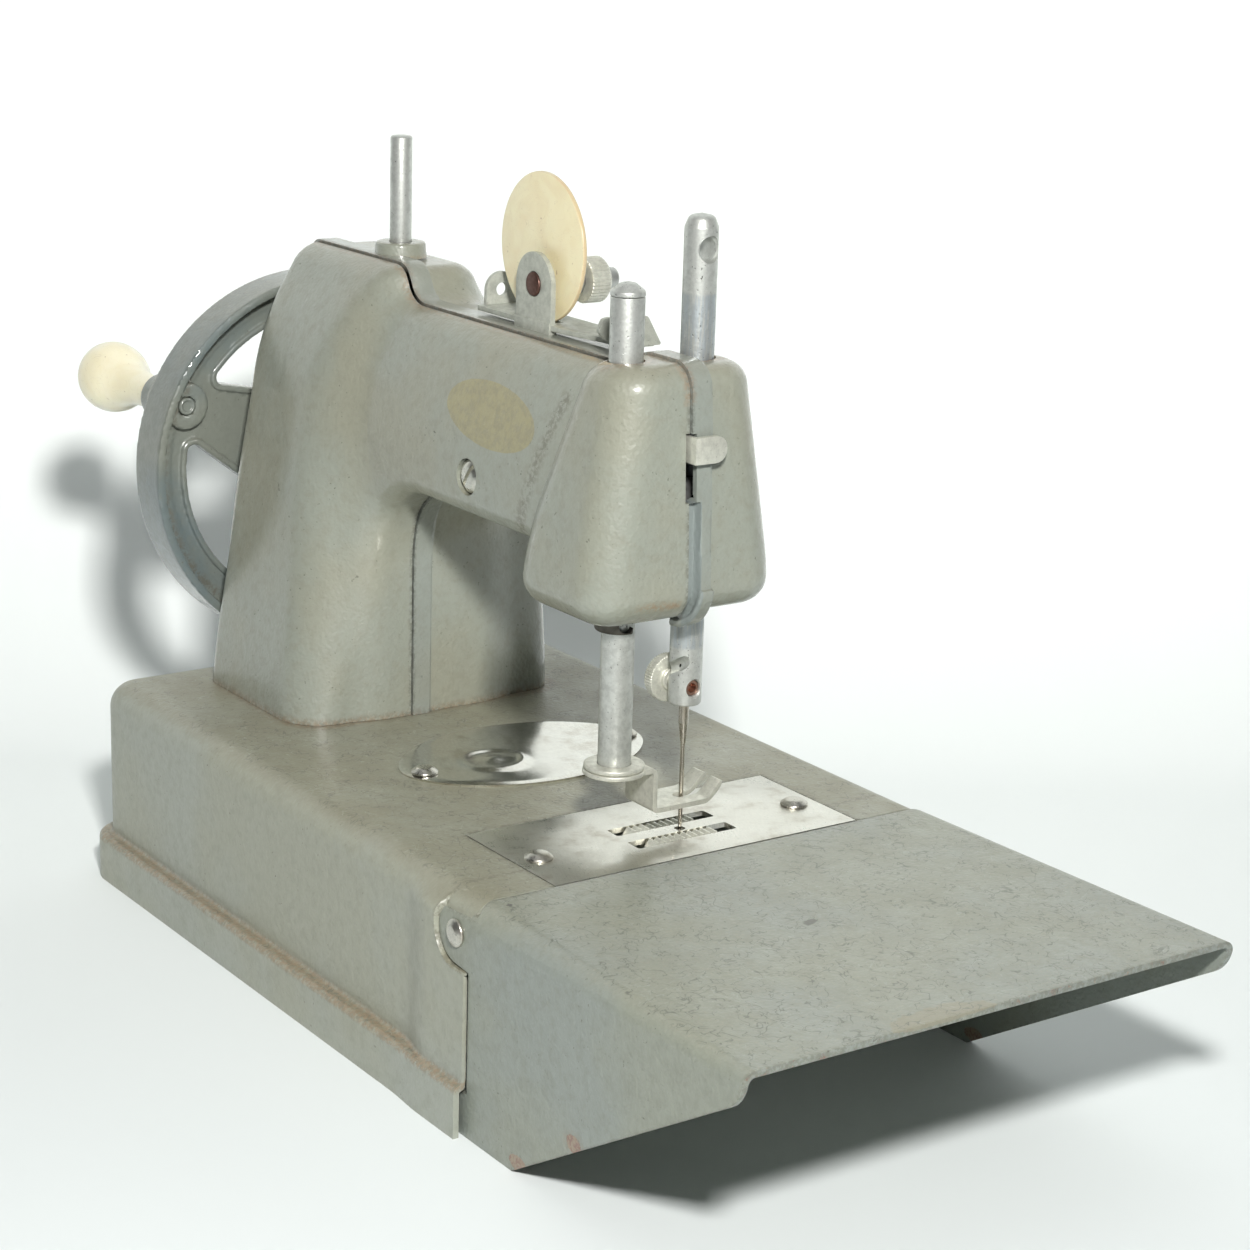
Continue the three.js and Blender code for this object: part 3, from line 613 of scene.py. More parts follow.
def shade(colour, factor):
    """A darker or lighter version of a colour."""
    return tuple(min(1.0, factor * c) for c in colour)


def hairs(look, size, width, keep):
    """Short curved hairlines: a noise contour, broken up by another noise."""
    value = look.noise(size, 2, 0.5, None, 0.6)
    line = look.times(look.ramp(value, 0.5 - width, 0.5), look.ramp(value, 0.5 + width, 0.5))
    return look.times(line, look.ramp(look.noise(size * 1.3, 3, 0.6), keep, keep + 0.05))


def enamel(name, cool, warm, dust=0.6, veins=0.0, peel=0.15, coat=(1.0, 0.17)):
    """Old stoving enamel: blotchy grey, orange peel, specks, dust on top, rust, and grime with some painted
    shade, where masks say.
    """
    look = Look(name, Metallic=0.0, IOR=1.5, Coat_Weight=coat[0], Coat_Roughness=coat[1])
    blotch = look.ramp(look.noise(42, 3, 0.55), 0.38, 0.62)
    fine = look.noise(2.2, 5, 0.65)
    colour = look.mix(blotch, cool, warm)
    colour = look.mix(look.ramp(fine, 0.42, 0.75, 0, 0.5), colour, shade(warm, 0.80))
    cloud = look.ramp(look.noise(15, 5, 0.6), 0.2, 0.75, 0.5, 1)
    settled = look.times(look.ramp(look.up(), 0.5, 0.97), cloud)
    colour = look.mix(look.times(settled, dust), colour, (0.225, 0.215, 0.150))
    grain = look.ramp(look.noise(0.8, 3, 0.6), 0.5, 0.72, 0, 0.35)
    colour = look.mix(look.times(grain, settled), colour, (0.33, 0.31, 0.24))
    dots = look.ramp(look.noise(0.9, 2, 0.5), 0.68, 0.75)
    specks = look.times(dots, look.ramp(look.noise(11, 2), 0.42, 0.6))
    colour = look.mix(look.times(specks, 0.75), colour, (0.085, 0.08, 0.06))
    # Dark blotches where the mask says: grime in joints and round the bars, and painted shade in the
    # handwheel's corner under the rim.
    grime_and_shade = look.times(look.mask("grime_and_shade"), look.ramp(look.noise(1.1, 5, 0.75), 0.42, 0.56))
    colour = look.mix(look.times(grime_and_shade, 0.8), colour, (0.10, 0.088, 0.062))
    rust = look.times(look.mask("rust"), look.ramp(look.noise(0.9, 5, 0.8), 0.40, 0.58))
    colour = look.mix(look.times(rust, 0.8), colour, (0.30, 0.205, 0.125))
    # Bluish worn enamel where the mask says; on the recessed strip beside the seam it is also painted shade
    # of the recess.
    colour = look.mix(look.times(look.mask("rub_and_shade"), 0.7), colour, (0.205, 0.245, 0.255))
    patch = look.ramp(look.maths("ADD", look.mask("patch"), look.times(look.noise(2, 4, 0.7), 0.02)),
                      0.503, 0.515)
    aged = look.mix(look.ramp(look.noise(1.8, 5, 0.7), 0.4, 0.62, 0, 0.7), (0.33, 0.295, 0.155),
                    (0.245, 0.225, 0.135))
    colour = look.mix(look.times(patch, 0.85), colour, aged)
    film = look.maths("ADD", look.mask("film"), look.times(look.noise(7, 5, 0.65), 0.9))
    colour = look.mix(look.ramp(film, 0.86, 0.93, 0, 0.75), colour, (0.25, 0.235, 0.17))
    colour = look.mix(look.ramp(look.mask("mark"), 0.47, 0.52), colour, (0.12, 0.118, 0.10))
    chip = look.maths("ADD", look.mask("chip"), look.times(look.noise(1.3, 5, 0.75), 0.6))
    chip = look.ramp(chip, 0.86, 0.92)
    bare = look.mix(look.ramp(look.noise(0.7, 3), 0.4, 0.6), (0.23, 0.13, 0.10), (0.30, 0.235, 0.165))
    colour = look.mix(chip, colour, bare)
    rough = look.ramp(fine, 0.3, 0.7, 0.40, 0.56)
    normal = look.bump(look.noise(0.85, 1, 0.4), peel)
    if veins:
        flat = look.ramp(look.up(), 0.8, 0.98)
        lines = look.maths("MAXIMUM", hairs(look, 3.2, 0.022, 0.46), hairs(look, 6.0, 0.012, 0.48))
        lines = look.times(lines, flat)
        colour = look.mix(look.times(lines, 0.7), colour, shade(warm, 0.38))
        light = look.times(hairs(look, 4.1, 0.012, 0.50), flat)
        colour = look.mix(look.times(light, 0.35), colour, shade(cool, 1.4))
        normal = look.bump(look.noise(3.0, 3, 0.55, None, 1.2), veins, 1.0, normal)
        normal = look.bump(lines, -0.05, 1.0, normal)
    look.set("Base Color", colour)
    look.set("Roughness", look.maths("MAXIMUM", rough, look.times(settled, 0.66)))
    look.set("Normal", look.bump(chip, -0.08, 1.0, normal))
    return look.material


def cast_zinc(name, colour, worn, specks=0.8, metallic=0.55):
    """Dull zinc bar: nearly white and mottled, with black pits, and streaky where the mask says it rubs."""
    look = Look(name, Metallic=metallic)
    mottle = look.noise(1.6, 5, 0.7)
    tone = look.mix(look.ramp(mottle, 0.35, 0.68), colour, shade(colour, 0.80))
    streak = look.noise(1.0, 4, 0.65, look.stretched(2.6, 2.6, 0.16))
    rubbed = look.mix(look.ramp(streak, 0.36, 0.62), worn, shade(worn, 1.6))
    edge = look.maths("ADD", look.mask("worn"), look.times(look.noise(2.5, 4, 0.7), 0.35))
    show = look.times(look.ramp(edge, 0.7, 1.1), look.ramp(streak, 0.40, 0.56, 0.15, 0.8))
    tone = look.mix(show, tone, rubbed)
    dots = look.ramp(look.noise(0.5, 2, 0.5), 0.66, 0.72)
    pits = look.times(dots, look.ramp(look.noise(4, 3), 0.42, 0.6))
    tone = look.mix(look.times(pits, specks), tone, (0.05, 0.048, 0.042))
    look.set("Base Color", tone)
    look.set("Roughness", look.ramp(mottle, 0.3, 0.7, 0.36, 0.52))
    normal = look.bump(look.noise(0.7, 3, 0.6), 0.05)
    look.set("Normal", look.bump(pits, -0.06, 1.0, normal))
    return look.material


def plated(name, colour, rough=(0.22, 0.4), streak=(0.05, 0.05, 1.0), specks=0.4,
           tarnish=(0.36, 0.30, 0.22)):
    """Plated or zinc-coated steel: fine lengthways streaks, dark specks and tarnish."""
    look = Look(name, Metallic=1.0)
    lines = look.noise(1.0, 4, 0.6, look.stretched(*(1 / s for s in streak)))
    cloud = look.noise(7, 4, 0.6)
    tone = look.mix(look.ramp(lines, 0.3, 0.7), shade(colour, 0.82), colour)
    tone = look.mix(look.ramp(cloud, 0.5, 0.78, 0, 0.55), tone, tarnish)
    dots = look.ramp(look.noise(0.55, 2, 0.5), 0.66, 0.74)
    patches = look.ramp(look.noise(5, 3), 0.38, 0.6)
    tone = look.mix(look.times(look.times(dots, patches), specks), tone, (0.10, 0.095, 0.085))
    look.set("Base Color", tone)
    look.set("Roughness", look.ramp(look.maths("ADD", lines, cloud), 0.7, 1.3, *rough))
    look.set("Normal", look.bump(lines, 0.006))
    return look.material


def ivory(name, colour, aged):
    """Aged cast plastic, slightly translucent, with faint curved scratches and brown specks."""
    look = Look(name, Metallic=0.0, Roughness=0.32, IOR=1.5, Coat_Weight=0.5, Coat_Roughness=0.12,
                Subsurface_Weight=0.12, Subsurface_Radius=(0.004, 0.003, 0.0015), Subsurface_Scale=0.5)
    tone = look.mix(look.ramp(look.noise(9, 3, 0.6, None, 0.8), 0.35, 0.7), colour, aged)
    scratch = look.ramp(look.noise(5.5, 1, 0.3, None, 3.0), 0.497, 0.5)
    scratch = look.times(scratch, look.ramp(look.noise(5.5, 1, 0.3, None, 3.0), 0.506, 0.503))
    tone = look.mix(look.times(scratch, 0.35), tone, (0.42, 0.33, 0.2))
    dots = look.ramp(look.noise(1.5, 1, 0.4), 0.76, 0.8)
    tone = look.mix(look.times(dots, 0.6), tone, (0.35, 0.22, 0.12))
    tone = look.mix(look.mask("edge"), tone, (0.44, 0.28, 0.14))
    look.set("Base Color", tone)
    look.set("Normal", look.bump(look.noise(3, 3), 0.012))
    return look.material


def plain_steel(name, colour, rough):
    look = Look(name, Metallic=1.0)
    look.set("Base Color", look.mix(look.ramp(look.noise(4, 4, 0.6), 0.35, 0.7), colour,
                                    shade(colour, 0.6)))
    look.set("Roughness", look.ramp(look.noise(1.5, 4), 0.3, 0.7, rough, rough + 0.15))
    look.set("Normal", look.bump(look.noise(0.6, 3), 0.01))
    return look.material


def two_tone_stud(name, browned, plated_end):
    look = Look(name, Metallic=0.85)
    grain = look.ramp(look.noise(0.8, 4, 0.6), 0.35, 0.7)
    dark = look.mix(grain, browned, shade(browned, 1.5))
    look.set("Base Color", look.mix(look.mask("plated"), dark, plated_end))
    look.set("Roughness", look.ramp(look.noise(1.5, 4), 0.3, 0.7, 0.34, 0.5))
    look.set("Normal", look.bump(look.noise(0.6, 3), 0.02))
    return look.material


ENAMEL = enamel("enamel", (0.285, 0.304, 0.259), (0.292, 0.292, 0.228), dust=0.75)
# The bed enamel is the body's paint made paler: partly its own dust and hammered veins, partly painted
# light making up for the lamp lighting the base less.
BED_ENAMEL = enamel("bed_enamel", (0.325, 0.342, 0.296), (0.322, 0.328, 0.262), dust=0.9, veins=0.10,
                    coat=(0.4, 0.3))
# The extension's enamel is made darker than the body's: partly its own veins and coat, partly painted shade
# making up for it standing nearer the lamp.
FLAP_ENAMEL = enamel("flap_enamel", (0.243, 0.268, 0.242), (0.254, 0.270, 0.220), dust=0.25, veins=0.13,
                     coat=(0.6, 0.26))
WHEEL_ENAMEL = enamel("wheel_enamel", (0.122, 0.155, 0.160), (0.182, 0.195, 0.166), dust=0.3, peel=0.10)
PLATE = plated("bright_plate", (0.80, 0.785, 0.72), (0.26, 0.42), (1.0, 0.12, 1.0), 0.25)
COVER_METAL = plated("cover_metal", (0.80, 0.79, 0.74), (0.12, 0.26), (1.0, 0.3, 1.0), 0.15)
SCREW = plated("bright_screw", (0.66, 0.64, 0.58), (0.24, 0.42), (0.3, 0.3, 0.3), 0.6)
BRIGHT_SCREW = plated("pivot_screw", (0.82, 0.81, 0.74), (0.24, 0.36), (0.5, 0.5, 0.5), 0.3)
NEEDLE = plated("needle_steel", (0.60, 0.56, 0.50), (0.18, 0.3), (0.2, 0.2, 3.0), 0.2)
BAR = cast_zinc("dull_bar", (0.63, 0.645, 0.615), (0.27, 0.30, 0.32), metallic=0.7)
FOOT_METAL = cast_zinc("foot_metal", (0.70, 0.70, 0.62), (0.40, 0.40, 0.36), specks=0.4)
BRACKET = cast_zinc("bracket_metal", (0.50, 0.515, 0.455), (0.3, 0.3, 0.28), specks=0.35, metallic=0.3)
STEEL = plain_steel("inner_steel", (0.42, 0.42, 0.41), 0.38)
DARK_STEEL = plain_steel("dark_steel", (0.16, 0.15, 0.13), 0.5)
COPPER = plain_steel("copper", (0.42, 0.25, 0.19), 0.25)
IVORY = ivory("cream_plastic", (0.84, 0.765, 0.52), (0.79, 0.69, 0.45))
KNOB_IVORY = ivory("knob_ivory", (0.93, 0.87, 0.66), (0.88, 0.80, 0.56))
BROWN = two_tone_stud("brown_stud", (0.115, 0.062, 0.050), (0.55, 0.56, 0.54))

# ---------------------------------------------------------------- column, arm and head


def corner_field(x, y, x_edge, y_edge, radius):
    """Inside a rounded corner whose straight sides lie at those edges, towards +X and -Y of them."""
    centre_x, centre_y = x_edge + radius, y_edge - radius
    return np.hypot(np.minimum(x - centre_x, 0), np.maximum(y - centre_y, 0)) - radius


def column_field(x, y, z):
    """The column is nearly even front and rear. Its corner by the arm is broadly rounded at the rear."""
    front = smooth_curve(z, [(40, 33.4), (58, 32.6), (72, 31.2), (89.5, 28.6), (107, 24.6), (120, 20.6),
                             (131, 16.4), (137, 13.4), (146, 9.0)])
    rear = smooth_curve(z, [(40, 33.2), (58, 31.0), (72, 28.6), (89.5, 26.2), (107, 23.0), (120, 20.4),
                            (131, 16.0), (137, 12.4), (146, 7.4)])
    middle = sum(COLUMN_X) / 2
    plan = rounded_rectangle(x - middle, y - (rear - front) / 2, COLUMN_X[1] - middle, (rear + front) / 2,
                             3.4)
    broad = smooth_curve(z, [(45, 10), (72, 13.5), (89.5, 17), (107, 19.5), (120, 19), (131, 14), (142, 6)])
    plan = np.maximum(plan, corner_field(x, y, COLUMN_X[0], rear, broad))
    plan = np.maximum(plan, corner_field(x, -y, COLUMN_X[0], front, 7.0))
    return meet(plan * 0.96, z - COLUMN_TOP, 4.2)


def arm_field(x, y, z):
    half = smooth_curve(z, [(90, 16.2), (98, 16.9), (108, 17.2), (120, 15.2), (128, 12.4), (134, 9.4),
                            (140, 6.2)])
    above = merge(ARM_BOTTOM - z, COLUMN_X[0] - 0.1 - x, ARCH_R)
    body = meet(meet((np.abs(y) - half) * 0.95, z - ARM_TOP, 3.6), above, 4.5)
    return np.maximum(body, np.maximum(14 - x, x - 125))


def head_field(x, y, z):
    knots = [88, 100, 106.5, 120, 131.6, 140]
    left = smooth_curve(z, list(zip(knots, (1.3, 1.5, 1.8, 2.4, 3.0, 3.4))))
    right = smooth_curve(z, list(zip(knots, (32.8, 31.5, 30.5, 26.5, 22.6, 20.0))))
    front = smooth_curve(z, list(zip(knots, (-16.8, -16.2, -15.3, -13.3, -11.6, -10.4))))
    rear = smooth_curve(z, list(zip(knots, (27.0, 26.3, 25.4, 23.2, 21.3, 20.2))))
    plan = rounded_rectangle(x - (left + right) / 2, y - (front + rear) / 2, (right - left) / 2,
                             (rear - front) / 2, 8.2)
    return meet(meet(plan * 0.97, z - 137.9, 4.6), 90.2 - z, 6.2)


def casing_field(x, y, z):
    return merge(merge(column_field(x, y, z), arm_field(x, y, z), 6.0), head_field(x, y, z), 4.0)


def tongue_field(x, y, z):
    """The seam ridge sweeps under the head and ends in a rounded tongue."""
    centre_x, centre_z, radius = 9.5, 97.4, 9.0
    sweep = np.abs(np.hypot(x - centre_x, z - centre_z) - radius)
    strip = rounded_rectangle(sweep, y - 3.1, 0.7, 1.6, 0.5)
    end = np.hypot(np.maximum(x - 8.6, 0), y - 3.1) - 1.9
    return np.maximum(np.maximum(strip, z - 96.5), end)


def front_casing_field(x, y, z):
    """The front shell carries the raised seam band, and its skin sits a little inside the rear shell's."""
    casing = casing_field(x, y, z)
    low_head = (x < 20) & (z < 112.9) & (z > 90) & (y > 4.2)
    let_in = 1.9 * ease(y, 4.2, 4.5) * low_head
    skin = casing + SKIN_STEP
    band = np.maximum(casing - BAND_RISE + let_in, np.maximum(BAND[0] - y, y - BAND[1] - 1.2))
    body = np.where(low_head, casing + 1.3, skin)
    return merge(np.minimum(body, band), tongue_field(x, y, z), 0.25)


def shell_holes():
    return [
        rod("cut", "z", BAR_R + 0.35, 80, 150, NEEDLE_AXIS),
        rod("cut", "z", BAR_R + 0.35, 120, 150, PRESSER_AXIS),
        rod("cut", "z", 4.75, 80, 100, PRESSER_AXIS),
        rod("cut", "x", 6.2, 135, 150, (0, SHAFT_Z)),
        box("cut", (-1, 7), (5.3, 7.4), (112.9, 125.7)),
    ]


def shell_masks(obj):
    x, y, z = drawing_points(obj).T
    near_bar = np.minimum(np.hypot(x - BAR_X, y - PRESSER_Y), np.hypot(x - BAR_X, y - NEEDLE_Y))
    bar_base = ease(near_bar, 6.5, 3.9) * (z > 134)
    seam = ease(np.abs(y - 6.6), 1.7, 0.3) * (z > 131)
    on_bed = ease(z, 46.6, 45.0)
    low_edge = ease(np.abs(z - 94.2 - 0.05 * (y - 14)), 1.3, 0.1) * (y > 8) * (x < 10) * ease(y, 20, 14)
    crease = ease(np.abs(x - 32.2 + (z - 130.8) * 0.35), 2.6, 0.3)
    junction = crease * (y > 12.5) * (z > 98) * (z < 136) * 0.7
    corner = ease(np.hypot(x - 98, z - 134), 9, 3) * (y > 6) * 0.8
    mask(obj, "rust", most(on_bed * 0.7, bar_base, seam * 0.85, low_edge, corner * seam))
    mask(obj, "grime_and_shade", most(junction, on_bed * 0.8, ease(np.abs(y - 6.4), 0.9, 0.2) * 0.8, bar_base * 0.7))
    oval = np.hypot((x - 57.0 + (z - 119) * 0.35) / 16.5, (z - 119.8 - (x - 57) * 0.10) / 6.2)
    mask(obj, "patch", np.where(y > 9, 0.5 + (1 - oval) * 0.5, 0))
    on_band = ease(np.abs(y - sum(BAND) / 2), 3.0, 2.3)
    # The recessed strip beside the seam under the head gets the full darker bluish colour: worn enamel and
    # painted shade of the recess together.
    beside = (x < 6) & (z < 113) & (y > 4.0) & (y < 6.4)
    mask(obj, "rub_and_shade", np.maximum(on_band * 0.42, beside * 1.0))


def make_shells():
    fine = 0.85
    xs = grid(-1, (24, 0.7), (98, fine * 1.25), (108, 0.7), (148, fine * 1.1))
    zs = grid(43, (88, fine * 1.3), (96, 0.7), (126, fine), (144, 0.7))
    rear = surface("body_shell_rear_skin", casing_field, xs, grid(4.5, (34, fine)), zs)
    slice_off(rear, (0, SEAM_REAR, 0), (0, -1, 0))
    slice_off(rear, (0, 0, BED + 0.08), (0, 0, -1))
    thicken(rear, SHEET)
    carve(rear, *shell_holes(), rod("cut", "y", 3.7, 10, 24, PIVOT))
    ys = grid(-33.5, (-1, fine), (0.8, 0.6), (6.8, 0.3), (8, 0.4))
    front = surface("body_shell_front_skin", front_casing_field, xs, ys, zs)
    slice_off(front, (0, SEAM_FRONT, 0), (0, 1, 0))
    slice_off(front, (0, 0, BED + 0.08), (0, 0, -1))
    thicken(front, SHEET)
    carve(front, *shell_holes(), rod("cut", "y", 2.8, -24, -10, PIVOT))
    for obj, node in ((rear, "body_shell_rear"), (front, "body_shell_front")):
        shell_masks(obj)
        finish(obj, "frame", ENAMEL, [node], 40)


# ---------------------------------------------------------------- base


def lug_field(x, z):
    """Flat distance to the outline cut out of the base wall round each hinge lug."""
    return np.hypot(np.maximum(x - HINGE[0], 0), np.minimum(z - HINGE[1], 0)) - LUG_R - 0.35


def base_field(x, y, z):
    """The bed pressing with its skirt. Its walls stand out past the hinge lugs and are cut round them."""
    near = ease(x, 24, 12)
    swell = 1.9 * near * ease(lug_field(x, z), -0.1, 0.2) * ease(z, 44.2, 40.5)
    plan = rounded_rectangle(x - BASE_END + 100, y, 100, BASE_HALF + swell, 7.0)
    body = meet(plan, z - BED, 5.5)
    skirt = meet(plan - SKIRT + 1.3 * near, z - SKIRT_HEIGHT, 1.3)
    return np.maximum(merge(body, skirt, 0.8), -1.2 - x)


def make_base():
    xs = grid(-2.1, (12, 0.4), (22, 0.8), (150, 1.4), (162.5, 0.8))
    ys = grid(-58.2, (-50.6, 0.45), (-44, 0.8), (44, 1.6), (50.6, 0.8), (58.2, 0.45))
    zs = grid(-1.5, (8.4, 1.3), (11.6, 0.35), (30.8, 1.2), (46.2, 0.45))
    base = surface("base_skin", base_field, xs, ys, zs)
    slice_off(base, (0, 0, 0), (0, 0, -1))
    slice_off(base, (-0.5, 0, 0), (-1, 0, 0))
    thicken(base, SHEET)
    carve(base, box("cut", (-3, 0.02), (-WING_OUTER, WING_OUTER), (-1, 50)),
          box("cut", (-2, 31.3), (-35.5, 35.5), (43.2, 47)),
          box("cut", (109, 141), (-16, 18), (43, 47)))
    pan = box("pan", (0.5, 39), (-42, 42), (42.3, 43.75))
    carve(pan, box("cut", (4, 27), (-20, 20), (40, 46)))
    join(base, pan)
    x, y, z = drawing_points(base).T
    ledge = ease(np.abs(z - SKIRT_HEIGHT + 0.2), 1.5, 0.2) * (np.abs(y) > 50)
    column_foot = rounded_rectangle(x - 124, y + 0.7, 21.6, 32.2, 8)
    around = ease(np.abs(column_foot - 0.4), 2.6, 0.3) * (z > 44)
    plate_edge = ease(np.abs(rounded_rectangle(x - 15.5, y, 16, 35.5, 0.5)), 1.2, 0.2) * (z > 44)
    lug_edge = ease(np.abs(lug_field(x, z)), 0.9, 0.2) * (x < 13) * (z > 30)
    mask(base, "rust", np.maximum(ledge * 0.75, around * 0.7))
    mask(base, "grime_and_shade", most(ledge * 0.5, around * 0.7, plate_edge * 0.8, lug_edge * 0.6))
    mask(base, "chip", ease(z, 1.2, 0.0) * 0.4)
    finish(base, "frame", BED_ENAMEL, ["base_shell"], 40)


# ---------------------------------------------------------------- bed extension


def channel_half(bend):
    """The channel's section from the wing's foot to the middle of the top, with that bend radius."""
    wing = [(WING_OUTER, (BED - bend) * t) for t in np.linspace(0, 1, 84)]
    curve = arc(WING_OUTER - bend, BED - bend, bend, 0, 90, 16)[1:]
    flat = [((WING_OUTER - bend) * t, BED) for t in np.linspace(1, 0, 36)[1:]]
    return wing + curve + flat


def free_end(z):
    """Where the sheet starts at that height: a sloping wing edge that curves up to the free end."""
    radius = 7.5
    centre = -EXTENSION + radius
    if z > 44.1:
        return -EXTENSION
    if z > 37.7:
        return centre - math.sqrt(radius ** 2 - (44.1 - z) ** 2)
    return -16.6 - z * (78.8 - 16.6) / 37.7


def hinge_end(z):
    """Where it ends: the wing's rear edge with a toe inside the skirt, the lug, and the top's rear edge."""
    if z < 8.4:
        return 2.2
    reach = LUG_R ** 2 - (z - HINGE[1]) ** 2
    if reach > 0 and z < 42.4:
        return HINGE[0] + math.sqrt(reach)
    return -1.1 if z < HINGE[1] else -0.42


def make_extension():
    """A ruled sheet from the free end to the hinge edge, whose bend widens towards the hinge."""
    free, hinged = channel_half(2.3), channel_half(5.6)
    rows = list(zip(free, hinged))
    rows += [((-a, b), (-c, d)) for (a, b), (c, d) in rows[-2::-1]]
    columns = np.concatenate([np.linspace(0, 0.05, 6)[:-1], np.linspace(0.05, 0.95, 72),
                              np.linspace(0.95, 1, 7)[1:]])
    points, faces = [], []
    for (y0, z0), (y1, z1) in rows:
        start = np.array([free_end(z0), y0, z0])
        stop = np.array([hinge_end(z1), y1, z1])
        points += [tuple(start + (stop - start) * t) for t in columns]
    across = len(columns)
    for i in range(len(rows) - 1):
        for k in range(across - 1):
            a = i * across + k
            faces.append((a, a + 1, a + across + 1, a + across))
    flap = add_mesh("bed_extension_skin", points, faces)
    thicken(flap, -SHEET if normal_points_in(flap) else SHEET)
    under_edge = [(-0.42, BED), (-2.0, BED - SHEET - 0.15), (-2.0, BED - 2.1), (3, BED - 2.1),
                  (3, BED + 1), (-0.42, BED + 1)]
    carve(flap, prism("cut", "y", under_edge, -60, 60))
    soften(flap, 0.25, 2, 50)
    x, y, z = drawing_points(flap).T
    slope = x - np.vectorize(free_end)(np.minimum(z, 44))
    cut_face = ease(slope, 0.9, 0.1)
    nick = np.hypot((x + 36.0) / 2.6, (z - 13.4) / 1.9)
    tip = np.hypot((x + 18.6) / 3.6, (z - 2.4) / 1.9)
    mask(flap, "chip", most(cut_face * 0.52, (1.45 - nick) * (y > 52), (1.35 - tip) * (np.abs(y) > 52)))
    mask(flap, "grime_and_shade", np.maximum(cut_face * 0.5, ease(x, -2.0, -0.3) * 0.5 * (z > 42)))
    mask(flap, "rust", np.clip(1.5 - nick, 0, 1) * (y > 50) * 0.6)
    film = 1.15 - np.hypot((x + EXTENSION) / 7.5, (y - 12.5) / 15)
    mask(flap, "film", np.where(z > 43.9, film, 0))
    square = np.maximum(np.abs(x + 37.6 + 0.2 * (y - 5.8)), np.abs(y - 5.8) * 0.62) - 0.95
    hole = np.hypot(x + 3.8, y - 47.6) - 0.75
    mask(flap, "mark", np.where(z > 44, 0.5 - np.minimum(square, hole) / 6, 0))
    finish(flap, "bed_extension", FLAP_ENAMEL, ["bed_extension"], 40)


# ---------------------------------------------------------------- handwheel


def wheel_window(middle):
    outer = arc(0, 0, 31.4, middle - 43.5, middle + 43.5, 14)
    inner = arc(0, 0, 16.8, middle + 4, middle - 4, 2)
    return inner + outer


def wheel_field(x, y, z):
    u, v = y, z - SHAFT_Z
    r = np.hypot(u, v)
    depth = x - WHEEL_X
    rim = rounded_rectangle(r - WHEEL_R + 0.95, depth - 5.7, 0.95, 5.7, 0.4)
    rim_root = rounded_rectangle(r - 39.6, depth - 6.5, 2.4, 1.7, 0.4)
    web = np.maximum(np.abs(depth - 6.5) - 1.6, r - 41)
    windows = np.minimum.reduce([polygon_field(u, v, wheel_window(m)) for m in WINDOWS]) - 1.7
    bead = rounded_rectangle(windows - 0.75, np.abs(depth - 6.5) - 1.7, 0.7, 0.65, 0.45)
    wheel = merge(np.minimum(rim, rim_root), np.minimum(np.maximum(web, -windows), bead), 0.9)
    hub = meet(r - 9.3, np.abs(depth - 5.7) - 5.7, 1.2)
    wheel = merge(wheel, hub, 1.4)
    boss_r = np.hypot(u - KNOB_YZ[0], v - KNOB_YZ[1] + SHAFT_Z)
    boss = meet(boss_r - 5.2, np.abs(depth - 9.05) - 6.45, 0.5)
    wheel = merge(wheel, boss, 0.4)
    return np.maximum(np.maximum(wheel, -np.maximum(boss_r - 2.15, depth - 4)), 3.7 - r)


def make_wheel():
    span = WHEEL_R + 1.4
    across = grid(-span, (span, 0.62))
    depths = grid(WHEEL_X - 1, (WHEEL_X + 12.5, 0.45), (WHEEL_X + 17, 0.6))
    wheel = surface("handwheel_casting", wheel_field, depths, across, across + SHAFT_Z)
    carve(wheel, rod("cut", "x", 2.15, WHEEL_X - 1, WHEEL_X + 20, KNOB_YZ))
    x, y, z = drawing_points(wheel).T
    r = np.hypot(y, z - SHAFT_Z)
    # Painted shade: the web's ring next to the rim is darkened in blotches, standing in for the rim's
    # shadow on it.
    mask(wheel, "grime_and_shade", ease(np.abs(r - 38.8), 1.8, 0.2) * 0.8)
    mask(wheel, "chip", ease(r, 41.6, 42.2) * ease(np.abs(x - WHEEL_X - 5.7), 4.6, 5.7) * 0.42)
    finish(wheel, "handwheel", WHEEL_ENAMEL, ["handwheel"], 50)


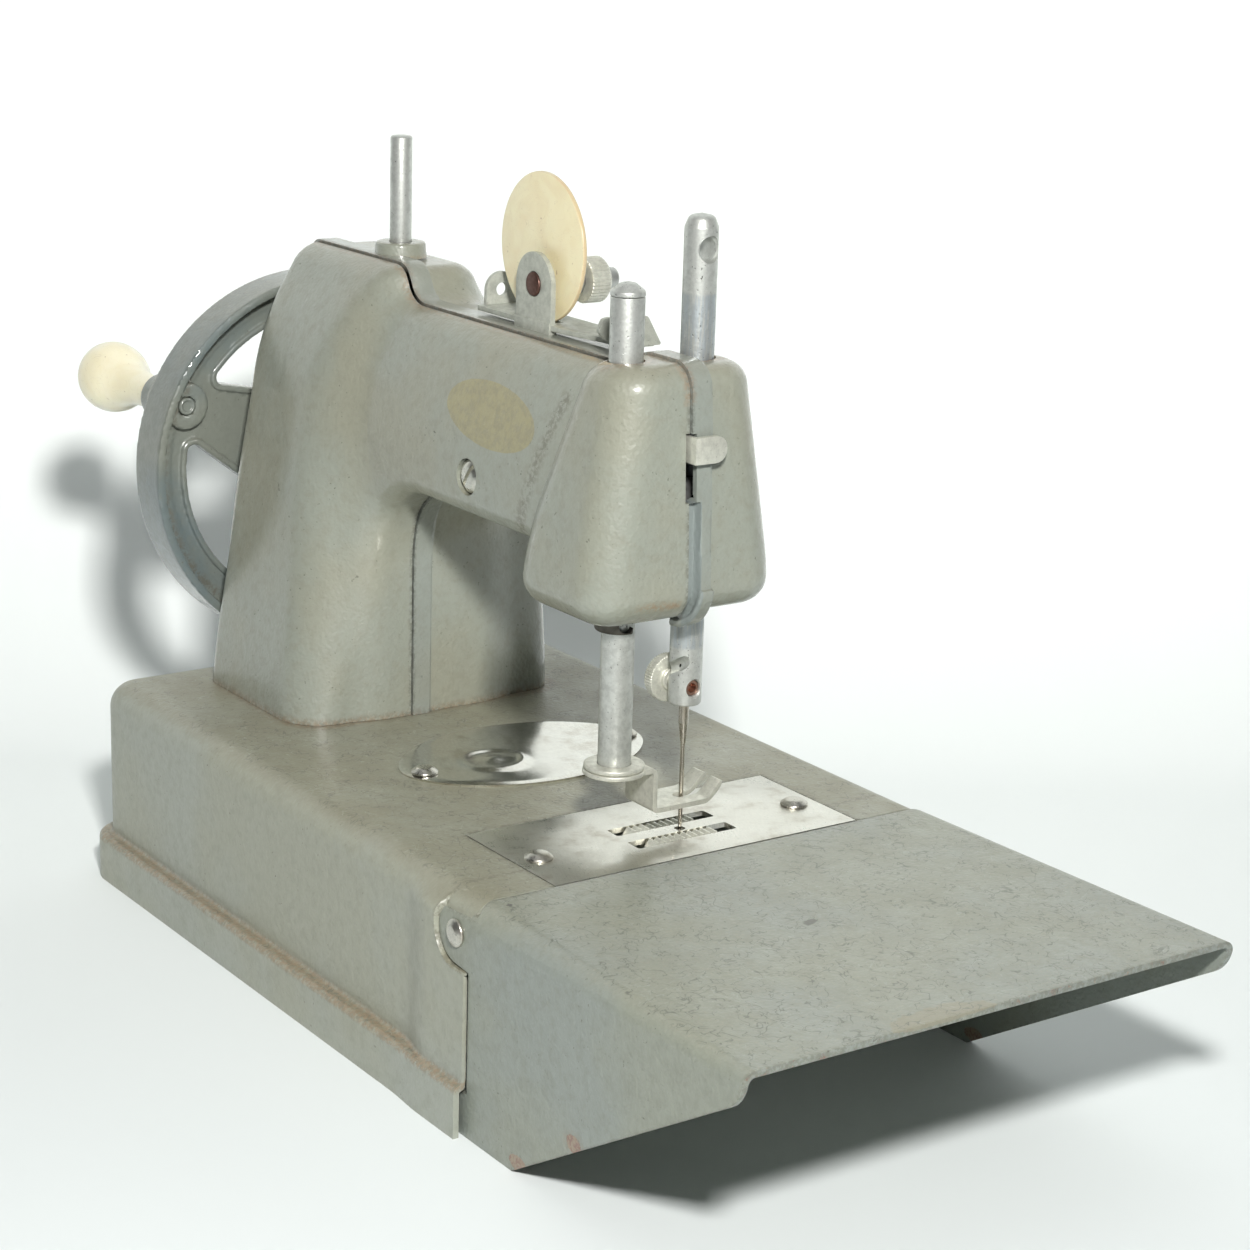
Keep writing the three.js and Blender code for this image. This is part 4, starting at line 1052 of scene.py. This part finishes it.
def make_knob():
    half = [(KNOB_END, 0.0), (KNOB_END - 0.25, 2.0), (196.1, 4.6), (193.9, 6.8), (191.2, 7.85),
            (188.6, 7.95), (185.4, 7.3), (182.0, 5.9), (178.6, 4.7), (174.6, 3.95), (170.6, 3.65),
            (167.2, 3.6)]
    places = np.array([p for p, _ in half][::-1])
    radii = np.array([r for _, r in half][::-1])
    fine = np.concatenate([np.linspace(167.2, 194, 44),
                           194 + (KNOB_END - 194) * np.sin(np.linspace(0, math.pi / 2, 16))[1:]])
    curve = smooth_curve(fine, list(zip(places, radii)))
    outside = [(max(float(r), 0.0), float(p)) for r, p in zip(curve, fine)]
    outside[-1] = (0.0, KNOB_END)
    profile = [(0, 187.6), (2.1, 187.6), (2.1, 166.2), (3.3, 166.2), (3.6, 166.6), *outside]
    knob = lathe("crank_knob_turned", "x", profile, KNOB_YZ, 64)
    x = drawing_points(knob)[:, 0]
    mask(knob, "edge", ease(x, 168.5, 166.2) * 0.4)
    finish(knob, "crank_knob", KNOB_IVORY, ["crank_knob"], 40)
    end = [(0, 151.7, 0), (1.0, 151.7, 0.3), (1.5, 151.2, 0.3), (1.95, 151.6, 0.3), (1.95, 187, 0),
           (0, 187, 0)]
    stud = turned("knob_stud_end", "x", end, KNOB_YZ, 32)
    x = drawing_points(stud)[:, 0]
    mask(stud, "chip", ease(x, 151.2, 151.6) * 0.3)
    finish(stud, "handwheel", WHEEL_ENAMEL, ["knob_stud"])


# ---------------------------------------------------------------- plates and screws on the bed


def dome_screw(name, x, y, seat):
    corners = [(0, seat - 4, 0), (1.4, seat - 4, 0), (1.4, seat + 0.02, 0), (2.75, seat + 0.02, 0.1),
               (2.75, seat + 0.45, 0.3), (1.7, seat + 1.25, 1.2), (0, seat + 1.55, 0)]
    return turned(name, "z", corners, (x, y), 40)


def make_needle_plate():
    plate = box("needle_plate_sheet", (0.02, 31), (-35.2, 35.2), (BED - 0.98, BED + 0.04))
    soften(plate, 0.12, 2)
    slots = [prism("cut", "z", rounded([(a, c, 0.5), (b, c, 0.5), (b, d, 0.5), (a, d, 0.5)]), 40, 50)
             for (a, b), (c, d) in SLOTS]
    carve(plate, *slots, rod("cut", "z", 1.1, 40, 50, NEEDLE_AXIS, 24))
    finish(plate, "frame", PLATE, ["needle_plate"], 30)
    for side, y in (("front", -PLATE_SCREW[1]), ("rear", PLATE_SCREW[1])):
        screw = dome_screw("plate_screw_dome_" + side, PLATE_SCREW[0], y, BED + 0.04)
        finish(screw, "frame", SCREW, ["plate_screw_" + side])


def cover_outline(t):
    """A point on the oval cover's edge: an ellipse with slightly drawn-out ends."""
    point = 1 + 0.05 * abs(math.sin(t)) ** 10
    return COVER[0] + COVER_HALF[0] * math.cos(t), COVER[1] + COVER_HALF[1] * math.sin(t) * point


def make_oval_cover():
    spokes, rings = 96, 30
    points, faces = [], []
    for i in range(rings + 1):
        t = i / rings
        for k in range(spokes):
            x, y = cover_outline(2 * math.pi * k / spokes)
            px, py = COVER[0] + (x - COVER[0]) * t, COVER[1] + (y - COVER[1]) * t
            emboss = math.hypot(px - 64.5, py - 8.2)
            ring = math.exp(-((emboss - 6.2) / 0.95) ** 2) * 0.55 + math.exp(-(emboss / 2.0) ** 2) * 0.5
            wave = 0.22 * math.sin(px * 0.31 + 1.1) * math.sin(py * 0.27) * (1 - t ** 6)
            edge = -0.28 * max(0.0, (t - 0.93) / 0.07) ** 2
            points.append((px, py, BED + 0.72 + ring + wave + edge))
    for i in range(rings):
        for k in range(spokes):
            j = (k + 1) % spokes
            a, b = i * spokes, (i + 1) * spokes
            if i == 0:
                faces.append((a, b + k, b + j))
            else:
                faces.append((a + k, b + k, b + j, a + j))
    cover = add_mesh("oval_cover_pressing", points, faces)
    edit(cover, lambda bm: bmesh.ops.delete(bm, geom=[v for v in bm.verts if not v.link_faces],
                                            context="VERTS"))
    thicken(cover, -0.5 if normal_points_in(cover) else 0.5)
    finish(cover, "frame", COVER_METAL, ["oval_cover"], 40)
    for side, x, y in (("front", 65, -24.8), ("rear", 64.5, 24.5)):
        screw = dome_screw("cover_screw_dome_" + side, x, y, BED + 0.75)
        finish(screw, "frame", SCREW, ["cover_screw_" + side])


def make_rivets():
    for side, sign in (("rear", 1), ("front", -1)):
        corners = [(0, 50.2, 0), (2.3, 50.2, 0.2), (2.6, 51.4, 0.2), (1.5, 51.4, 0), (1.5, 54.22, 0),
                   (2.65, 54.22, 0.1), (2.65, 54.7, 0.4), (1.5, 55.35, 0.9), (0, 55.5, 0)]
        rivet = turned("extension_rivet_dome_" + side, "y", [(r, sign * p, f) for r, p, f in corners],
                       HINGE, 40)
        finish(rivet, "frame", SCREW, ["extension_rivet_" + side])


# ---------------------------------------------------------------- needle bar, presser bar and foot


def knurl(count, depth, least):
    """Ridges round every part of a lathe that is wider than least."""
    def ripple(radius, _, angle):
        return radius - depth * (0.5 + 0.5 * math.cos(count * angle)) if radius > least else radius
    return ripple


def make_needle_bar():
    rings = [(BAR_R, z, 0) for z in (80.5, 82.5, 98, 138, 148.6, 150.6)]
    corners = [(0, 70.5, 0), (BAR_R, 70.5, 0.5), *rings,
               (BAR_R, 161.2, 0.25), (2.35, 163.3, 1.3), (0, 163.8, 0)]
    bar = turned("needle_bar_rod", "z", corners, NEEDLE_AXIS, 72, steps=8)
    eye = prism("cut", "x", [(NEEDLE_Y + 1.75 * math.cos(a), 157.4 + 2.3 * math.sin(a))
                             for a in np.linspace(0, 2 * math.pi, 33)[:-1]], 5, 22)
    flare = lathe("cut", "x", [(0, 9), (2.9, 9), (2.2, 11.4), (0, 11.4)], (NEEDLE_Y, 157.4), 40)
    guide = rod("cut", "x", 1.25, 8, 20, (NEEDLE_Y + 2.5, 78.0), 28)
    tilt(guide, (BAR_X, NEEDLE_Y + 2.5, 78.0), 28)
    carve(bar, eye, flare, rod("cut", "x", 1.6, 5, 22, CLAMP_AXIS),
          lathe("cut", "x", [(0, 9.9), (2.3, 9.9), (1.6, 10.9), (0, 10.9)], CLAMP_AXIS, 36),
          rod("cut", "z", 1.3, 69, 82, NEEDLE_AXIS), guide)
    z = drawing_points(bar)[:, 2]
    mask(bar, "worn", ease(z, 150.6, 148.6) * ease(z, 80.5, 82.5))
    finish(bar, "needle_bar", BAR, ["needle_bar"], 35)


def make_needle_and_screws():
    shape = [(0, 42.6, 0), (0.16, 43.4, 0.3), (0.42, 46.5, 0.5), (0.45, 62, 1), (0.95, 66.5, 1),
             (0.95, 80, 0), (0, 80, 0)]
    finish(turned("needle_ground", "z", shape, NEEDLE_AXIS, 24), "needle_bar", NEEDLE,
           ["needle"])
    thread = [(0, 12.3), (0.55, 12.3), (0.95, 11.25)]
    for turn in range(4):
        thread += [(1.45, 11.25 + 0.36 * turn), (1.2, 11.43 + 0.36 * turn)]
    thread += [(1.45, 12.8), (0, 12.8)]
    finish(lathe("needle_set_screw_end", "x", thread, CLAMP_AXIS, 36), "needle_bar", COPPER,
           ["needle_set_screw"])
    thumb = [(0, 14.9, 0), (1.2, 14.9, 0), (1.2, 17.5, 0.1), (2.2, 17.5, 0.2), (2.2, 18.3, 0.1),
             (4.7, 18.3, 0.25), (4.7, 20.6, 0.25), (3.4, 20.6, 0.3), (3.0, 20.25, 0.3), (0, 20.25, 0)]
    screw = turned("needle_clamp_screw_knurled", "x", thumb, CLAMP_AXIS, 208, knurl(52, 0.2, 4.3), 3)
    finish(screw, "needle_clamp_screw", FOOT_METAL, ["needle_clamp_screw"])


def make_presser():
    corners = [(0, 60.4, 0), (BAR_R, 60.4, 0.2), *[(BAR_R, z, 0) for z in (132, 134)], (BAR_R, 149.6, 0.15),
               (0, 149.6, 0)]
    bar = turned("presser_bar_rod", "z", corners, PRESSER_AXIS, 64)
    z = drawing_points(bar)[:, 2]
    mask(bar, "worn", ease(z, 132, 134) * 0.55)
    finish(bar, "presser_bar", BAR, ["presser_bar"])
    cap = [(0, 149.75, 0), (BAR_R + 0.08, 149.75, 0.12), (BAR_R + 0.02, 150.6, 0.5), (1.5, 152.0, 1.6),
           (0, 152.35, 0)]
    finish(turned("presser_cap_dome", "z", cap, PRESSER_AXIS, 64), "presser_bar", BAR,
           ["presser_cap"])


def make_presser_bush():
    bush = [(BAR_R + 0.2, 87.2, 0.1), (4.5, 87.2, 0.9), (4.5, 96, 0), (BAR_R + 0.2, 96, 0),
            (BAR_R + 0.2, 87.2, 0)]
    bushing = turned("presser_bush_turned", "z", bush, PRESSER_AXIS, 56)
    opening = rod("cut", "x", 1.35, 5, BAR_X, (PRESSER_Y + 1.1, 88.9), 28)
    carve(bushing, opening, box("cut", (5, 22), (PRESSER_Y - 6, PRESSER_Y - 0.2), (86, 90.4)))
    finish(bushing, "frame", DARK_STEEL, ["presser_bush"])


def make_lifter_tab():
    outline = rounded([(5.85, 120.3, 0.2), (5.85, 125.3, 0.2), (-0.25, 125.3, 2.4), (-0.25, 120.3, 2.4)])
    tab = prism("lifter_tab_sheet", "x", outline, 0.2, 1.2)
    stem = box("stem", (0.25, 8.9), (5.75, 6.75), (120.3, 125.2))
    finish(soften(boolean(tab, "UNION", stem), 0.22), "presser_bar", FOOT_METAL,
           ["lifter_tab"])


def make_foot():
    sole, sheet, top = 51.0, 1.0, 60.1
    back, leg = PRESSER_Y - 1, 7.4
    path = [(back, top, 0), (leg - sheet, top, 1.4), (leg - sheet, sole + sheet, 0.3),
            (-5.2, sole + sheet, 2.5), (-8.6, sole + 4.2, 0.3), (-9.3, sole + 3.5, 0.3),
            (-5.7, sole, 3.2), (leg, sole, 1.3), (leg, top - sheet, 0.4), (back, top - sheet, 0)]
    foot = prism("presser_foot_bent", "x", rounded(path), 9, 18.3)
    plan = rounded([(9, 13, 0), (9, -9.6, 2.3), (12.3, -9.6, 1.0), (12.3, -0.6, 1.2), (14.7, -0.6, 1.2),
                    (14.7, -9.6, 1.0), (18.3, -9.6, 2.3), (18.3, 13, 0)])
    boolean(foot, "INTERSECT", prism("plan", "z", plan, 49, 62))
    for level, radius in ((59.12, 6.0), (60.14, 5.8)):
        ring = [(1.9, level, 0), (radius, level, 0.25), (radius, level + 0.92, 0.3),
                (1.9, level + 0.92, 0), (1.9, level, 0)]
        if level > 60:
            ring = [(BAR_R + 0.1, level, 0), *ring[1:3], (BAR_R + 0.1, level + 0.92, 0),
                    (BAR_R + 0.1, level, 0)]
        join(foot, turned("collar", "z", ring, PRESSER_AXIS, 48))
    finish(soften(foot, 0.16, 2, 50), "presser_bar", FOOT_METAL, ["presser_foot"], 35)
    rivet = [(0, 57.5, 0), (1.8, 57.5, 0.4), (2.5, 58.4, 0.3), (2.5, 59.05, 0), (1.4, 59.05, 0),
             (1.4, 60.2, 0), (0, 60.2, 0)]
    finish(turned("foot_rivet_head", "z", rivet, PRESSER_AXIS, 40), "presser_bar",
           FOOT_METAL, ["foot_rivet"])


def make_pivot_screw():
    corners = [(0, -17, 0), (2.4, -17, 0.4), (2.4, 14.2, 0), (3.35, 14.2, 0.1), (3.35, 16.4, 0.5),
               (2.2, 17.1, 0.8), (0, 17.3, 0)]
    screw = turned("lever_pivot_screw_slotted", "y", corners, PIVOT, 48)
    slot = box("cut", (PIVOT[0] - 5, PIVOT[0] + 5), (16.2, 19), (PIVOT[1] - 0.45, PIVOT[1] + 0.45))
    tilt(slot, (PIVOT[0], 0, PIVOT[1]), 55)
    finish(carve(screw, slot), "frame", BRIGHT_SCREW, ["lever_pivot_screw"])


# ---------------------------------------------------------------- tension group and spool pin


def make_bracket():
    plan = rounded([(31.5, -6, 1), (81.5, -6, 1), (81.5, 3.5, 1), (50, 3.5, 3), (40, 1.6, 3),
                    (32.4, 0.9, 0.8)])
    strip = prism("tension_bracket_bent", "z", plan, 136, 137)
    carve(strip, box("cut", (DISC[0] - 6.2, DISC[0] + 6.2), (-1.1, 1), (135, 138)))
    ear = [(STUD[0] + 6.3, 134.9), *arc(STUD[0], STUD[1], 6.3, 0, 180, 28), (STUD[0] - 6.3, 134.9)]
    guide = [(1.6, 136.3), *arc(-2.1, 139.9, 3.6, 0, 180, 18), (-5.7, 136.3)]
    end = rounded([(-7.2, 136.2, 0.3), (0.8, 136.2, 0.3), (1.2, 138.2, 0.6), (5.6, 137.8, 1),
                   (7.4, 139.8, 1), (6.4, 142, 0.9), (4.6, 142.3, 0.4), (4.2, 141.2, 0.3),
                   (5.2, 140.2, 0.5), (3.6, 139.4, 0.5), (1.4, 140.6, 0.5), (0.6, 142, 0.6),
                   (-3.8, 142, 1.2)])
    fold = box("fold", (STUD[0] - 6.3, STUD[0] + 6.3), (2.1, 3.8), (134.9, 137.4))
    boolean(strip, "UNION", prism("ear", "y", ear, 2.4, 3.5), prism("ear", "x", guide, 80.5, 81.5),
            prism("ear", "x", end, 31.5, 32.5), fold)
    carve(strip, rod("cut", "y", 2.5, 0, 6, STUD, 40), rod("cut", "x", 1.35, 78, 84, (-2.1, 139.9), 28))
    finish(soften(strip, 0.2), "frame", BRACKET, ["tension_bracket"])


def make_tension_stud():
    stud = [(0, -15.6, 0), (2.1, -15.6, 0.5), (2.3, -13.2, 0), (1.5, -13.2, 0), (1.5, 1, 0), (2.4, 1, 0),
            (2.4, 3.9, 0.4), (0, 4.0, 0)]
    stud = turned("tension_stud_turned", "y", stud, STUD, 40)
    y = drawing_points(stud)[:, 1]
    mask(stud, "plated", y < 0)
    finish(stud, "frame", BROWN, ["tension_stud"])


def make_tension_disc():
    disc = turned("tension_disc_moulded", "y", [(0, -0.5, 0), (DISC_R, -0.5, 0.3), (DISC_R, 0.45, 0.3),
                                                (0, 0.45, 0)], DISC, 120)
    carve(disc, rod("cut", "y", 1.7, -3, 3, STUD))
    x, y, z = drawing_points(disc).T
    mask(disc, "edge", ease(np.hypot(x - DISC[0], z - DISC[1]), DISC_R - 0.25, DISC_R - 0.02) * 0.55)
    finish(disc, "frame", IVORY, ["tension_disc"])


def make_tension_spring_and_nut():
    spring = coil("tension_spring_wire", "y", STUD, 2.9, 0.42, 4, -6.8, -1.6)
    finish(spring, "frame", STEEL, ["tension_spring"])
    nut = [(1.75, -12.6, 0), (3.7, -12.6, 0.2), (4.6, -11.7, 0.2), (4.6, -7.6, 0.3), (1.75, -7.6, 0),
           (1.75, -12.6, 0)]
    knurled = turned("tension_nut_knurled", "y", nut, STUD, 144, knurl(36, 0.22, 4.2), 3)
    finish(knurled, "tension_nut", FOOT_METAL, ["tension_nut"])


def make_spool():
    seat = COLUMN_TOP + 0.8
    foot = COLUMN_TOP - 0.3
    flange = [(2.5, foot, 0), (5.7, foot, 0), (5.45, seat, 0), (5.3, 144.75, 0.6), (2.5, 144.8, 0.1),
              (2.5, foot, 0)]
    collar = turned("spool_flange_turned", "z", flange, (SPOOL_X, 0), 56)
    x, y, z = drawing_points(collar).T
    mask(collar, "grime_and_shade", ease(np.hypot(x - SPOOL_X, y), 4.2, 2.6) * 0.7)
    mask(collar, "rust", ease(z, seat, foot) * 0.8)
    finish(collar, "frame", ENAMEL, ["spool_flange"])
    pin = [(0, 138.4, 0), (1.4, 138.4, 0), (1.4, seat, 0), (2.3, seat, 0.1), (2.3, 167, 0.6), (0, 167, 0)]
    finish(turned("spool_pin_rod", "z", pin, (SPOOL_X, 0), 40), "frame", BAR, ["spool_pin"])


# ---------------------------------------------------------------- feed dog


def feed_rail(x):
    """A toothed rail with ramped ends, as a side outline drawn along X."""
    teeth = []
    for i in range(10):
        y = -8.1 + 1.5 * i
        teeth += [(y, 44.35), (y + 0.15, 44.35), (y + 0.35, 45.05), (y + 0.75, 45.05)]
    outline = [(-9.3, 37.5), (-9.3, 42.6), *teeth, (6.9, 44.3), (7.8, 42.6), (7.8, 37.5)]
    return prism("feed_rail", "x", outline, *x)


def make_feed_dog():
    lower_y, lower_z = 12, 22
    dog = feed_rail((16.2, 19.0))
    pin = rod("pin", "x", 1.2, 23.5, 27.4, (lower_y, lower_z + 7), 24)
    boolean(dog, "UNION", feed_rail((8.5, 11.5)), box("bridge", (8.6, 24), (2, 5.8), (37.5, 40)),
            box("tail", (21.6, 24), (2.1, lower_y + 1.5), (37.6, 39.9)),
            box("drop", (21.65, 23.95), (lower_y - 1.5, lower_y + 1.45), (lower_z + 5.2, 39.8)), pin)
    finish(soften(dog, 0.1, 2, 40), "feed_dog", FOOT_METAL, ["feed_dog"], 30)


# ---------------------------------------------------------------- pieces kept from the frame


def dress_inner_pieces():
    """The mechanism inside and under the machine keeps its CAD shapes."""
    for name in ("main_shaft", "main_shaft_bush", "crank_disc", "feed_eccentric", "connecting_rod",
                 "shaft_bracket", "needle_lever", "lever_collar", "presser_collar", "presser_spring",
                 "lower_shaft", "looper", "feed_arm", "rocker_arm", "shaft_hanger_left",
                 "shaft_hanger_right"):
        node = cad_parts[name]
        node.data.materials.clear()
        node.data.materials.append(STEEL)


# ---------------------------------------------------------------- stage and lights


def make_stage():
    """A pale floor that curves up close behind the machine. Painted light: it is darker in front and paler
    towards the back, and the back glows a little in place of a lamp on the backdrop.
    """
    look = Look("stage", Roughness=0.9, Metallic=0.0)
    back = look.mask("back")
    # Painted light: darker floor in front, paler backdrop behind.
    look.set("Base Color", look.mix(back, (0.74, 0.78, 0.785), (0.86, 0.885, 0.875)))
    # Painted light: a faint glow at the back, standing in for a lamp.
    look.set("Emission Color", (0.93, 1.0, 0.985))
    look.set("Emission Strength", look.times(back, 0.10))
    away = (Vector(CAMERA_AIM) - Vector(CAMERA_AT)).xy.normalized()
    side = Vector((-away.y, away.x))
    bend, start = 0.085, 0.125
    path = [(-3.0, 0.0), *[(out, 0.0) for out in np.linspace(-0.3, start, 9)],
            *arc(start, bend, bend, -90, 0, 20)[1:]]
    path += [(start + bend, up) for up in (0.2, 0.4, 2.2)]
    points, faces, glow = [], [], []
    for out, up in path:
        for across in (-3.0, 3.0):
            spot = away * out + side * across
            points.append((spot.x, spot.y, up))
            # How much painted light each row gets: more further back and higher up.
            glow.append(ease(out, -0.1, start) * 0.45 + ease(up, 0.0, 0.12) * 0.55)
    for i in range(len(path) - 1):
        faces.append((2 * i, 2 * i + 2, 2 * i + 3, 2 * i + 1))
    mesh = bpy.data.meshes.new("stage")
    mesh.from_pydata(points, [], faces)
    floor = bpy.data.objects.new("stage", mesh)
    bpy.context.scene.collection.objects.link(floor)
    mask(floor, "back", np.array(glow))
    mesh.shade_smooth()
    mesh.materials.append(look.material)


def area_light(name, at, aim, size, power, colour=(1, 1, 1), gentle=False):
    """An area lamp. A gentle one falls off with distance, not with its square."""
    data = bpy.data.lights.new(name, "AREA")
    data.shape = "RECTANGLE"
    data.size, data.size_y = size
    data.energy = power
    data.color = colour
    if gentle:
        data.use_nodes = True
        falloff = data.node_tree.nodes.new("ShaderNodeLightFalloff")
        falloff.inputs["Strength"].default_value = 1.0
        data.node_tree.links.new(falloff.outputs["Linear"],
                                 data.node_tree.nodes["Emission"].inputs["Strength"])
    light = bpy.data.objects.new(name, data)
    bpy.context.scene.collection.objects.link(light)
    light.location = at
    light.rotation_euler = (Vector(aim) - Vector(at)).to_track_quat("-Z", "Y").to_euler()


def make_lights():
    """Soft light all round, and one small lamp just above the camera."""
    bpy.context.scene.view_settings.view_transform = "Standard"
    world = bpy.data.worlds.new("studio")
    world.use_nodes = True
    world.node_tree.nodes["Background"].inputs[0].default_value = (0.95, 0.99, 1.0, 1)
    world.node_tree.nodes["Background"].inputs[1].default_value = 0.09
    bpy.context.scene.world = world
    centre = (0, 0, 0.06)
    area_light("lamp", (-0.400, 0.226, 0.350), centre, (0.045, 0.045), 6.7, (1, 0.99, 0.96), True)
    area_light("overhead", (0.1, -0.1, 1.2), centre, (0.8, 0.8), 1.0)


# ---------------------------------------------------------------- build

make_shells()
make_base()
make_extension()
make_wheel()
make_knob()
make_needle_plate()
make_oval_cover()
make_rivets()
make_needle_bar()
make_needle_and_screws()
make_presser()
make_foot()
make_presser_bush()
make_lifter_tab()
make_pivot_screw()
make_bracket()
make_tension_stud()
make_tension_disc()
make_tension_spring_and_nut()
make_spool()
make_feed_dog()
dress_inner_pieces()
make_stage()
make_lights()


def corners(pair):
    return [[float(v) for v in corner] for corner in pair]


bpy.context.view_layer.update()
